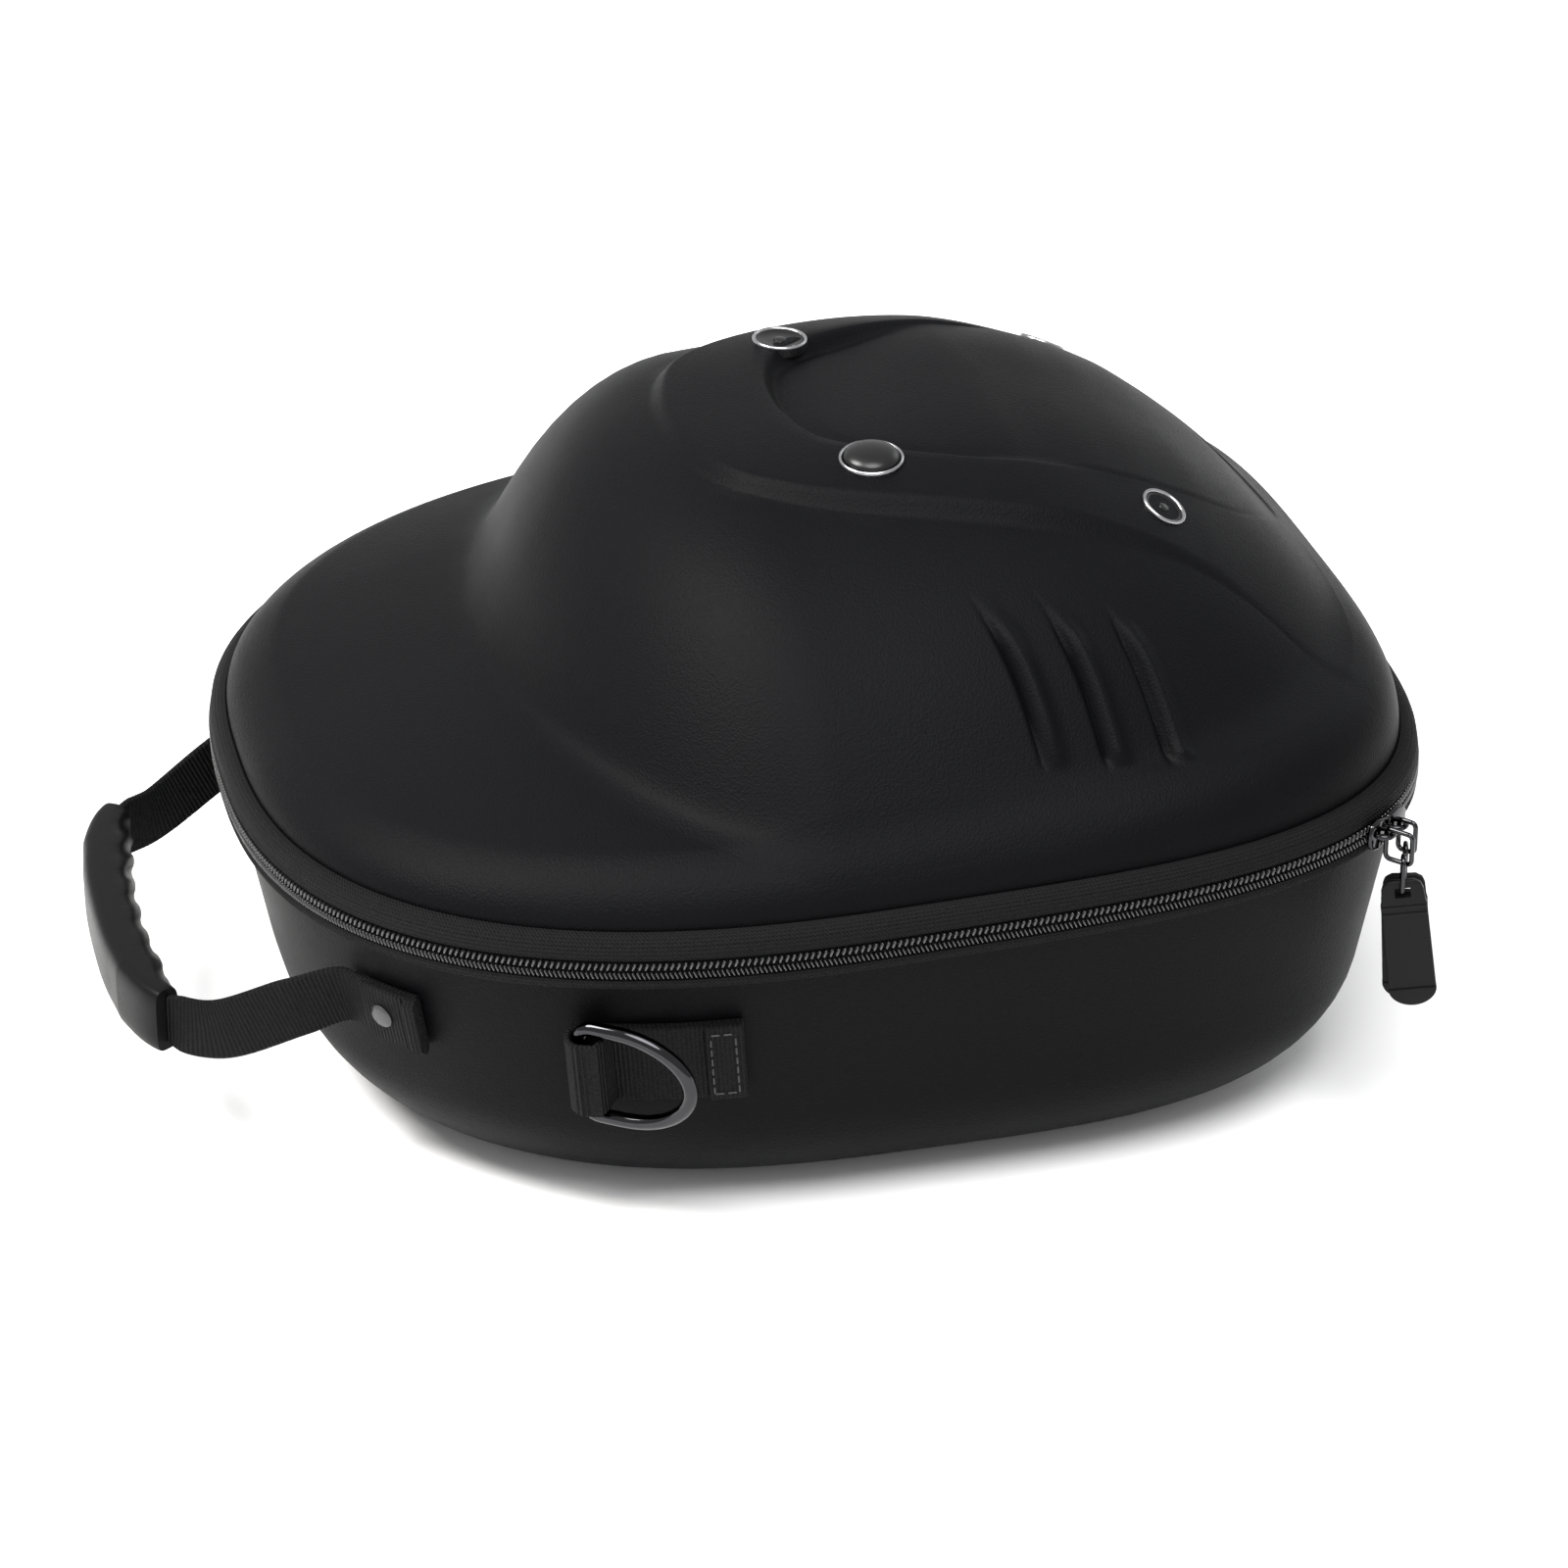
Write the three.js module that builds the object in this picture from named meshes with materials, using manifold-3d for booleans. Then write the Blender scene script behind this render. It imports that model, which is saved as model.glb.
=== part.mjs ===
// A moulded hat case: a tray shaped to a cap's brim and crown, and a domed lid closed by a zip.
// Millimetres, +Z up. The brim end points along -X, the rear along +X. The origin is the middle
// of the flat underside.
import * as THREE from 'three';
import { mergeVertices } from 'three/addons/utils/BufferGeometryUtils.js';
import Module from 'manifold-3d';

const wasm = await Module();
wasm.setup();

// Driving dimensions of the case's plan, measured at the zip
const caseLength = 335;
const caseWidth = 300;
const widestX = -1;
const frontSquareness = 2.5;
const rearSquareness = 3.5;

// Heights: the zip lies in a plane that rises towards the rear
const partingHeight = 90;
const partingRise = 12.6;

// Tray
const shellWall = 3;
const trayInset = 3;
const wallLean = 0.18;
const bottomRadius = 34;

// Lid: the brim's flat top with its rounded edge, and the crown that stands on it
const seamRise = 9.5;
const seamInset = 5.4;
const brimEdgeRise = 23;
const brimLift = 5.3;
const brimCamber = 19.4;
const brimEdgeRadius = 14;
const brimEdgePower = 2.4;
const crownRise = 83;
const crownTopLift = 9.3;
const crownPower = 2.97;
const crownRoot = 1.11;
const footBlend = 3.2;

// Raised band round the crown's top panel
const bandHeight = 2.6;
const panelDip = 4.2;
const bandShoulder = 7;
const panelShoulder = 6;

// Zip
const gap = 0.3;
const teethDepth = 3;
const teethHeight = 2.3;
const teethProud = 0.6;
const lowerTapeHeight = 3.1;
const hingeSpan = 60;
const hingeDirection = 90;

// Vent ribs on each flank
const ribCount = 3;
const ribPitch = 18;
const ribWidth = 5;
const ribHeight = 1.6;
const ribSunk = 1.4;

// Round fittings
const eyeletRadius = 8;
const rearEyeletRadius = 6.9;
const studRadius = 9.1;
const fittingSink = 0.9;

// Carrying handle
const webbingWidth = 18;
const webbingThickness = 2;
const webbingLift = 1.4;
const handleHeight = 60.7;
const gripHeight = 42;
const handleReach = 32.3;
const gripLength = 112;
const gripDepth = 14.5;
const gripTall = 20.5;
const gripWebbingWidth = 15;
const tabAngle = 141.4;
const rivetAngle = 145.5;
const leaveAngle = 151;
const rivetRadius = 3.8;

// Rings for a shoulder strap
const ringAngle = 123.95;
const ringHeight = 57.6;
const ringStrapWidth = 25;
const ringStrapLength = 41.4;
const ringStrapThickness = 1.5;
const ringWire = 4.2;
const ringReach = 31;
const ringLeanOut = 12;
const ringLoopSlack = 1.5;
const ringSeat = 1.2;

// Sliders and pulls
const sliderAngle = 42.3;
const sliderLength = 9.4;
const sliderHeight = 9;
const sliderPlate = 1.6;
const bailWire = 1.6;
const bailSpan = 5.4;
const linkWire = 1.4;
const linkReach = 8.2;
const linkDrop = 7.2;
const pullRingDrop = 10.2;
const pullRingHalf = 2.1;
const pullWidth = 13.2;
const pullLength = 39;
const pullThickness = 1.8;
const pullSpread = 6.8;
const pullTurn = 32;
const pullTilt = 5.5;
const wireRoom = 0.35;

// How many flats the long curves have
const aroundCase = 72;
const wireSides = 6;
const pocketSides = 16;
const turnedSides = 14;
const rivetSides = 12;

const frontReach = caseLength / 2 + widestX;
const rearReach = caseLength / 2 - widestX;
const halfWidth = caseWidth / 2;
const halfLength = caseLength / 2;

// Crown's plan, as shares of the half length and half width
const crownPlan = { centre: -0.113, front: 0.478, side: 0.946, frontPower: 1.85, rearPower: 2.87 };

// Outer edge of the raised band, from its front tip along one side: shares of half length, half width
const bandEdge = [
  { x: -0.221, y: 0 }, { x: -0.203, y: 0.16 }, { x: -0.161, y: 0.273 }, { x: -0.096, y: 0.34 },
  { x: -0.012, y: 0.393 }, { x: 0.113, y: 0.44 }, { x: 0.287, y: 0.48 }, { x: 0.448, y: 0.5 },
  { x: 0.585, y: 0.52 }, { x: 0.68, y: 0.547 }, { x: 0.764, y: 0.587 }, { x: 0.83, y: 0.647 },
  { x: 1.05, y: 0.75 }, { x: 1.05, y: 0 },
];

// Edge of the top panel inside the band, in the same shares
const panelEdge = [
  { x: -0.027, y: 0 }, { x: -0.02, y: 0.09 }, { x: 0.005, y: 0.18 }, { x: 0.042, y: 0.225 },
  { x: 0.15, y: 0.29 }, { x: 0.275, y: 0.333 }, { x: 0.436, y: 0.347 }, { x: 0.531, y: 0.347 },
  { x: 0.639, y: 0.325 }, { x: 0.72, y: 0.275 }, { x: 0.8, y: 0.16 }, { x: 0.855, y: 0 },
];

// How high the band stands along the case, and how the panel lies against it
const bandFade = [
  { x: -1, share: 1 }, { x: 0.3, share: 1 }, { x: 0.5, share: 0.75 }, { x: 0.68, share: 0.35 },
  { x: 0.85, share: 0.2 }, { x: 1, share: 0 },
];
const panelStep = [
  { x: -1, share: -1 }, { x: 0.08, share: -1 }, { x: 0.3, share: -0.25 }, { x: 0.45, share: 0.1 },
  { x: 0.62, share: 0.14 }, { x: 0.75, share: 0 }, { x: 0.86, share: -0.25 }, { x: 1, share: 0 },
];

// First vent rib from its upper to its lower end: shares of half length, half width
const ribLine = [
  { x: 0.188, y: 0.64 }, { x: 0.208, y: 0.69 }, { x: 0.224, y: 0.735 },
  { x: 0.236, y: 0.785 }, { x: 0.245, y: 0.835 },
];

const fittings = [
  { name: 'dome_stud', x: 0.066, y: -0.29, radius: studRadius, domed: true },
  { name: 'eyelet_front', x: 0.06, y: 0.29, radius: eyeletRadius, domed: false },
  { name: 'eyelet_rear_near', x: 0.543, y: -0.406, radius: rearEyeletRadius, domed: false },
  { name: 'eyelet_rear_far', x: 0.543, y: 0.406, radius: rearEyeletRadius, domed: false },
];

const finishes = {
  shell: new THREE.MeshStandardMaterial({ color: 0x1d1e20, roughness: 0.85, metalness: 0 }),
  tape: new THREE.MeshStandardMaterial({ color: 0x2a2b2d, roughness: 0.9, metalness: 0 }),
  teeth: new THREE.MeshStandardMaterial({ color: 0x17181a, roughness: 0.45, metalness: 0 }),
  webbing: new THREE.MeshStandardMaterial({ color: 0x222325, roughness: 0.85, metalness: 0 }),
  grip: new THREE.MeshStandardMaterial({ color: 0x202122, roughness: 0.6, metalness: 0 }),
  metal: new THREE.MeshStandardMaterial({ color: 0x1a1a1c, roughness: 0.2, metalness: 0.9 }),
  bright: new THREE.MeshStandardMaterial({ color: 0xb8b8ba, roughness: 0.2, metalness: 1 }),
  pull: new THREE.MeshStandardMaterial({ color: 0x252628, roughness: 0.7, metalness: 0 }),
};

const fullTurn = 360;
const radians = (degrees) => degrees * Math.PI / 180;
const clamp = (value, low, high) => Math.min(high, Math.max(low, value));
const mix = (a, b, share) => a + (b - a) * share;

function smoothStep(share) {
  const t = clamp(share, 0, 1);
  return t * t * (3 - 2 * t);
}

// Value of a table of { x, share } rows at x, with soft changes between the rows
function tableValue(rows, x) {
  for (let k = 1; k < rows.length; k += 1) {
    if (x <= rows[k].x) {
      const share = (x - rows[k - 1].x) / (rows[k].x - rows[k - 1].x);
      return mix(rows[k - 1].share, rows[k].share, smoothStep(share));
    }
  }
  return rows[rows.length - 1].share;
}

// Radius-like measure of a rounded plan: 1 on its outline, 0 at its centre
function planShare(x, y, centre, front, rear, side, frontPower, rearPower) {
  const power = x > centre ? rearPower : frontPower;
  const along = Math.abs(x - centre) / (x > centre ? rear : front);
  return (along ** power + (Math.abs(y) / side) ** power) ** (1 / power);
}

// Point of the case's outline in the direction of an angle, moved in by an inset
function planPoint(angle, inset) {
  const c = Math.cos(angle);
  const s = Math.sin(angle);
  const along = (c > 0 ? rearReach : frontReach) - inset;
  const power = c > 0 ? rearSquareness : frontSquareness;
  const sum = (Math.abs(c) / along) ** power + (Math.abs(s) / (halfWidth - inset)) ** power;
  const reach = sum ** (-1 / power);
  return [widestX + reach * c, reach * s];
}

const partingZ = (x) => partingHeight + partingRise * x / caseLength;

// A body of triangles, turned so that its faces point out
function body(points, triangles) {
  const flat = points.flat();
  let volume = 0;
  for (const [a, b, c] of triangles) {
    const [p, q, r] = [points[a], points[b], points[c]];
    volume += p[0] * (q[1] * r[2] - q[2] * r[1]);
    volume += p[1] * (q[2] * r[0] - q[0] * r[2]);
    volume += p[2] * (q[0] * r[1] - q[1] * r[0]);
  }
  const turned = volume < 0 ? triangles.map(([a, b, c]) => [a, c, b]) : triangles;
  const geometry = new THREE.BufferGeometry();
  geometry.setAttribute('position', new THREE.Float32BufferAttribute(flat, 3));
  geometry.setIndex(turned.flat());
  return geometry;
}

// Quads between rings of equal count, as triangles
function skin(ringCount, sides, closed) {
  const triangles = [];
  const last = closed ? ringCount : ringCount - 1;
  for (let k = 0; k < last; k += 1) {
    for (let i = 0; i < sides; i += 1) {
      const a = k * sides + i;
      const b = k * sides + (i + 1) % sides;
      const c = ((k + 1) % ringCount) * sides + i;
      const d = ((k + 1) % ringCount) * sides + (i + 1) % sides;
      triangles.push([a, b, d], [a, d, c]);
    }
  }
  return triangles;
}

// A bowl: rings from an outer pole to the rim and back inside to an inner pole
function bowl(outerPole, rings, innerPole) {
  const sides = rings[0].length;
  const points = [...rings.flat(), outerPole, innerPole];
  const triangles = skin(rings.length, sides, false);
  const first = rings.length * sides;
  const lastRing = (rings.length - 1) * sides;
  for (let i = 0; i < sides; i += 1) {
    const next = (i + 1) % sides;
    triangles.push([first, next, i], [first + 1, lastRing + i, lastRing + next]);
  }
  return body(points, triangles);
}

// A bar lofted through equal sections, closed on itself or capped at both ends
function bar(sections, closed = false) {
  const sides = sections[0].length;
  const triangles = skin(sections.length, sides, closed);
  if (!closed) {
    const last = (sections.length - 1) * sides;
    for (let i = 1; i < sides - 1; i += 1) {
      triangles.push([0, i + 1, i], [last, last + i, last + i + 1]);
    }
  }
  return body(sections.flat(), triangles);
}

// A sleeve lofted through outer and inner sections of equal count, open at both ends
function sleeve(outer, inner) {
  const sides = outer[0].length;
  const rings = [];
  for (let k = 0; k < outer.length; k += 1) rings.push(outer[k]);
  for (let k = inner.length - 1; k >= 0; k -= 1) rings.push(inner[k]);
  return body(rings.flat(), skin(rings.length, sides, true));
}

// Booleans on closed bodies
function toSolid(geometry) {
  const plain = geometry.clone();
  plain.deleteAttribute('normal');
  plain.deleteAttribute('uv');
  const merged = mergeVertices(plain, 1e-4);
  const corners = merged.index.array;
  const kept = [];
  for (let k = 0; k < corners.length; k += 3) {
    const [a, b, c] = corners.slice(k, k + 3);
    if (a !== b && b !== c && c !== a) kept.push(a, b, c);
  }
  return new wasm.Manifold(new wasm.Mesh({
    numProp: 3,
    vertProperties: new Float32Array(merged.attributes.position.array),
    triVerts: new Uint32Array(kept),
  }));
}

function toGeometry(solid) {
  const mesh = solid.getMesh();
  const geometry = new THREE.BufferGeometry();
  geometry.setAttribute('position', new THREE.BufferAttribute(new Float32Array(mesh.vertProperties), 3));
  geometry.setIndex(new THREE.BufferAttribute(new Uint32Array(mesh.triVerts), 1));
  return geometry;
}

// A closed curve through a one-sided table of shares, mirrored to the other side
function mirroredOutline(rows) {
  const side = rows.map((row) => new THREE.Vector3(row.x * halfLength, row.y * halfWidth, 0));
  const other = side.slice(1, -1).reverse().map((p) => new THREE.Vector3(p.x, -p.y, 0));
  const curve = new THREE.CatmullRomCurve3([...side, ...other], true, 'centripetal');
  return curve.getPoints(120).slice(0, -1).map((p) => [p.x, p.y]);
}

// Distance from a closed outline, positive inside it
function insideDistance(outline, x, y) {
  let nearest = Infinity;
  let inside = false;
  for (let k = 0; k < outline.length; k += 1) {
    const [ax, ay] = outline[k];
    const [bx, by] = outline[(k + 1) % outline.length];
    const length = (bx - ax) ** 2 + (by - ay) ** 2;
    const share = clamp(((x - ax) * (bx - ax) + (y - ay) * (by - ay)) / length, 0, 1);
    nearest = Math.min(nearest, Math.hypot(x - mix(ax, bx, share), y - mix(ay, by, share)));
    if ((ay > y) !== (by > y) && x < ax + (y - ay) / (by - ay) * (bx - ax)) inside = !inside;
  }
  return inside ? nearest : -nearest;
}

const bandOutline = mirroredOutline(bandEdge);
const panelOutline = mirroredOutline(panelEdge);

// How far a point of the plan lies inside the lid's lower edge
function insideLid(x, y) {
  const share = planShare(x, y, widestX, frontReach - seamInset, rearReach - seamInset,
    halfWidth - seamInset, frontSquareness, rearSquareness);
  const reach = Math.hypot(x - widestX, y);
  return { share, distance: Math.max(0, (1 - share) * reach / Math.max(share, 1e-6)) };
}

// Brim and crown surfaces of the lid, as rises above the parting plane
function brimRiseAt(x, share, distance) {
  const edge = clamp(distance / brimEdgeRadius, 0, 1);
  const round = (1 - (1 - edge) ** brimEdgePower) ** (1 / brimEdgePower);
  const top = brimEdgeRise + brimLift * (x - widestX) / halfLength - seamRise;
  return seamRise + top * round + brimCamber * (1 - Math.min(share, 1) ** 2);
}

function crownRiseAt(x, y) {
  const centre = crownPlan.centre * halfLength;
  const share = planShare(x, y, centre, crownPlan.front * halfLength,
    rearReach + widestX - seamInset - centre, crownPlan.side * halfWidth,
    crownPlan.frontPower, crownPlan.rearPower);
  const swell = 1 + crownTopLift / crownRise * (x - centre) / halfLength;
  return seamRise + crownRise * swell * Math.max(0, 1 - share ** crownPower) ** (1 / crownRoot);
}

function reliefAt(x, y) {
  const band = smoothStep(0.5 + insideDistance(bandOutline, x, y) / bandShoulder);
  const panel = smoothStep(0.5 + insideDistance(panelOutline, x, y) / panelShoulder);
  const along = x / halfLength;
  return bandHeight * tableValue(bandFade, along) * band + panelDip * tableValue(panelStep, along) * panel;
}

function lidRise(x, y) {
  const { share, distance } = insideLid(x, y);
  const brim = brimRiseAt(x, share, distance);
  const crown = crownRiseAt(x, y);
  const edge = clamp(distance / brimEdgeRadius, 0, 1);
  const joined = (brim + crown + Math.hypot(brim - crown, 2 * footBlend)) / 2 - footBlend * (1 - edge);
  return joined + reliefAt(x, y) * edge;
}

const lidPoint = (x, y) => new THREE.Vector3(x, y, partingZ(x) + lidRise(x, y));

// Position and directions of the lid's surface at a place of the plan
function lidFrame(x, y) {
  const step = 3;
  const alongX = lidPoint(x + step, y).sub(lidPoint(x - step, y));
  const alongY = lidPoint(x, y + step).sub(lidPoint(x, y - step));
  const out = alongX.clone().cross(alongY).normalize();
  return { at: lidPoint(x, y), out };
}

// Tray outline at a height: the wall leans in below the zip and rounds under
function trayInsetAt(z) {
  const under = bottomRadius - Math.min(z, bottomRadius);
  const roundIn = bottomRadius - Math.sqrt(bottomRadius ** 2 - under ** 2);
  return trayInset + wallLean * (partingHeight - z) + roundIn;
}

function trayPoint(angle, z, outset = 0) {
  const [x, y] = planPoint(angle, trayInsetAt(z) - outset);
  return [x, y, z * partingZ(x) / partingHeight];
}

// Position and directions on the tray's wall: forward is towards the rear of the case
function wallFrame(angle, z) {
  const step = 0.02;
  const at = new THREE.Vector3(...trayPoint(angle, z));
  const turn = new THREE.Vector3(...trayPoint(angle + step, z)).sub(new THREE.Vector3(...trayPoint(angle - step, z)));
  const rise = new THREE.Vector3(...trayPoint(angle, z + 1)).sub(new THREE.Vector3(...trayPoint(angle, z - 1)));
  const rearward = turn.normalize().multiplyScalar(turn.x < 0 ? -1 : 1);
  const up = rise.addScaledVector(rearward, -rise.dot(rearward)).normalize();
  const out = rearward.clone().cross(up);
  const side = Math.sign(Math.sin(angle));
  if (out.y * side < 0) out.negate();
  return { at, rearward, up, out };
}

function place(object, at, axisX, axisY, axisZ) {
  object.position.copy(at);
  object.quaternion.setFromRotationMatrix(new THREE.Matrix4().makeBasis(axisX, axisY, axisZ));
  return object;
}

function piece(name, geometry, finish) {
  const mesh = new THREE.Mesh(geometry, finishes[finish]);
  mesh.name = name;
  return mesh;
}

const angles = Array.from({ length: aroundCase }, (unused, k) => 2 * Math.PI * k / aroundCase);

function makeTray() {
  const ringAt = (inset, z) => angles.map((angle) => {
    const [x, y] = planPoint(angle, inset);
    return [x, y, z * partingZ(x) / partingHeight];
  });
  const rounding = [0, 20, 40, 62, 90];
  const innerRounding = [90, 45, 0];
  const top = partingHeight - gap;
  const rings = [];
  for (const turn of rounding) {
    const z = bottomRadius * (1 - Math.cos(radians(turn)));
    rings.push(ringAt(trayInsetAt(z), z));
  }
  rings.push(ringAt(trayInsetAt(top), top));
  rings.push(ringAt(trayInsetAt(top) + shellWall, top));
  for (const turn of innerRounding) {
    const inner = bottomRadius - shellWall;
    const z = shellWall + inner * (1 - Math.cos(radians(turn)));
    const lean = trayInset + shellWall + wallLean * (partingHeight - z);
    rings.push(ringAt(lean + inner * (1 - Math.sin(radians(turn))), z));
  }
  return bowl([widestX, 0, 0], rings, [widestX, 0, shellWall]);
}

// Rings of the lid run through its panel edge, band edge, crown foot and brim edge
function lidFractions(angle, centreX) {
  const [lipX, lipY] = planPoint(angle, seamInset);
  const reach = Math.hypot(lipX - centreX, lipY);
  const at = (g) => [mix(centreX, lipX, g), lipY * g];
  const steps = 200;
  const crossing = (test, fallback) => {
    for (let k = steps - 1; k > 0; k -= 1) {
      if (test(...at(k / steps))) return k / steps;
    }
    return fallback;
  };
  const panel = Math.min(0.74, crossing((x, y) => insideDistance(panelOutline, x, y) > 0, 0.3));
  const band = Math.min(0.84, crossing((x, y) => insideDistance(bandOutline, x, y) > 0, 0.5));
  const foot = Math.min(0.92, crossing((x, y) => {
    const { share, distance } = insideLid(x, y);
    return crownRiseAt(x, y) > brimRiseAt(x, share, distance);
  }, 0.9));
  const half = 0.5 / reach;
  const wish = [
    0.5 * panel, panel - half * panelShoulder, panel + half * panelShoulder, mix(panel, band, 0.5),
    band - half * bandShoulder, band + half * bandShoulder, mix(band, foot, 0.4), mix(band, foot, 0.75),
    foot - 3 / reach, foot + 5 / reach, mix(foot, 1, 0.45), 1 - brimEdgeRadius * 1.1 / reach,
    1 - brimEdgeRadius * 0.6 / reach, 1 - brimEdgeRadius * 0.25 / reach, 1 - brimEdgeRadius * 0.06 / reach,
  ];
  const least = 1 / reach;
  for (let k = 1; k < wish.length; k += 1) wish[k] = Math.max(wish[k], wish[k - 1] + least);
  let limit = 1 - 0.5 * least;
  for (let k = wish.length - 1; k >= 0; k -= 1) {
    wish[k] = Math.min(wish[k], limit);
    limit = wish[k] - 0.5 * least;
  }
  return { wish: [...wish, 1], lip: [lipX, lipY], reach };
}

function makeLid() {
  const centreX = 0.36 * halfLength;
  const rays = angles.map((angle) => lidFractions(angle, centreX));
  const outerRing = (k) => rays.map(({ wish, lip }) => {
    const x = mix(centreX, lip[0], wish[k]);
    const y = lip[1] * wish[k];
    return [x, y, partingZ(x) + lidRise(x, y)];
  });
  const innerRing = (k) => rays.map(({ wish, lip, reach }) => {
    const x = mix(centreX, lip[0], wish[k]);
    const y = lip[1] * wish[k];
    const inward = wish[k] * (1 - shellWall / reach);
    return [mix(centreX, lip[0], inward), lip[1] * inward, partingZ(x) + lidRise(x, y) - shellWall];
  });
  const skirt = (inset, rise) => angles.map((angle) => {
    const [x, y] = planPoint(angle, inset);
    return [x, y, partingZ(x) + rise];
  });
  const count = rays[0].wish.length;
  const rings = [];
  for (let k = 0; k < count; k += 1) rings.push(outerRing(k));
  rings.push(skirt(seamInset + 0.02, gap));
  rings.push(skirt(seamInset + shellWall, gap));
  for (const k of [14, 12, 9, 6, 4, 1]) rings.push(innerRing(k));
  const top = lidPoint(centreX, 0);
  return bowl([centreX, 0, top.z], rings, [centreX, 0, top.z - shellWall]);
}

// One vent rib: a rounded ridge laid on the flank, its foot sunk in the wall
function makeRib(index, side) {
  const centres = ribLine.map((row) => {
    const x = row.x * halfLength + index * ribPitch;
    return new THREE.Vector3(x, side * row.y * halfWidth, 0);
  });
  const curve = new THREE.CatmullRomCurve3(centres);
  const steps = 6;
  const flats = 4;
  const sections = [];
  for (let k = 0; k <= steps; k += 1) {
    const place2d = curve.getPoint(k / steps);
    const ahead = curve.getPoint(Math.min(1, k / steps + 0.02));
    const behind = curve.getPoint(Math.max(0, k / steps - 0.02));
    const along = lidPoint(ahead.x, ahead.y).sub(lidPoint(behind.x, behind.y)).normalize();
    const { at, out } = lidFrame(place2d.x, place2d.y);
    const across = out.clone().cross(along).normalize();
    const end = Math.sqrt(Math.max(0.04, 1 - (2 * k / steps - 1) ** 6));
    const section = [];
    for (let i = 0; i <= flats; i += 1) {
      const turn = Math.PI * i / flats;
      const p = at.clone().addScaledVector(across, Math.cos(turn) * ribWidth / 2 * end);
      p.addScaledVector(out, Math.sin(turn) * ribHeight * end);
      if (i === 0 || i === flats) p.addScaledVector(out, -ribSunk);
      section.push(p.toArray());
    }
    sections.push(section);
  }
  return bar(sections);
}

function finishedLid() {
  let solid = toSolid(makeLid());
  for (const side of [-1, 1]) {
    for (let index = 0; index < ribCount; index += 1) solid = solid.add(toSolid(makeRib(index, side)));
  }
  for (const fitting of fittings) {
    const { at, out } = lidFrame(fitting.x * halfLength, fitting.y * halfWidth);
    const depth = fittingSink + gap;
    const pocketHeight = 8;
    const pocket = new THREE.CylinderGeometry(fitting.radius + gap, fitting.radius + gap, pocketHeight, pocketSides);
    pocket.translate(0, pocketHeight / 2 - depth, 0);
    pocket.applyQuaternion(new THREE.Quaternion().setFromUnitVectors(new THREE.Vector3(0, 1, 0), out));
    pocket.translate(at.x, at.y, at.z);
    solid = solid.subtract(toSolid(pocket));
  }
  return toGeometry(solid);
}

// Turned fittings, seated in shallow pockets of the lid
function makeFitting({ radius, domed }) {
  const rim = [
    [0, -fittingSink], [radius - 0.9, -fittingSink], [radius - 0.1, -0.3], [radius, 0.35],
    [radius - 0.4, 0.95], [radius - 1.2, 1.1],
  ];
  const cup = [[radius - 2, 0.7], [radius - 2.3, -0.3], [1, -0.4], [0.8, 0], [0, 0.1]];
  const cap = [[radius - 1.7, 1.3], [radius * 0.62, 2.7], [radius * 0.32, 3.4], [0, 3.6]];
  const profile = [...rim, ...(domed ? cap : cup)].map(([r, z]) => new THREE.Vector2(r, z));
  const turned = new THREE.LatheGeometry(profile, turnedSides);
  turned.deleteAttribute('normal');
  turned.deleteAttribute('uv');
  return toGeometry(toSolid(turned));
}

// A band along the zip: a section of insets and rises, swept round the case between two angles
function zipBand(section, from, to) {
  const full = to - from >= fullTurn;
  const count = Math.round((to - from) / fullTurn * aroundCase);
  const sections = [];
  for (let k = 0; k < (full ? count : count + 1); k += 1) {
    const angle = radians(from + (to - from) * k / count);
    sections.push(section.map(([inset, rise]) => {
      const [x, y] = planPoint(angle, inset);
      return [x, y, partingZ(x) + rise];
    }));
  }
  return bar(sections, full);
}

const zipFrom = hingeDirection + hingeSpan / 2;
const zipTo = hingeDirection + fullTurn - hingeSpan / 2;
const teethSection = (low, high) => {
  const middle = (low + high) / 2;
  const inner = Math.min(teethDepth - gap, trayInset - gap);
  return [[inner, low], [0, low], [-teethProud, middle], [0, high], [inner, high]];
};
const lowTeeth = teethSection(-gap / 2 - teethHeight, -gap / 2);
const highTeeth = teethSection(gap / 2, gap / 2 + teethHeight);

// The hinge tape stops a gap short of the zip's ends, in degrees round the case
const hingeTrim = 0.12;

function upperTapeSection() {
  const low = gap / 2 + teethHeight + gap;
  return [[seamInset - gap, low], [0.2, low], [1.9, mix(low, seamRise, 0.55)], [seamInset - gap, seamRise - gap]];
}

function lowerTapeSection() {
  const high = -(gap / 2 + teethHeight + gap);
  const low = high - lowerTapeHeight;
  const inner = trayInset - gap;
  return [[inner, low], [1.2, low], [0.1, mix(low, high, 0.6)], [0.1, high], [inner, high]];
}

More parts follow.
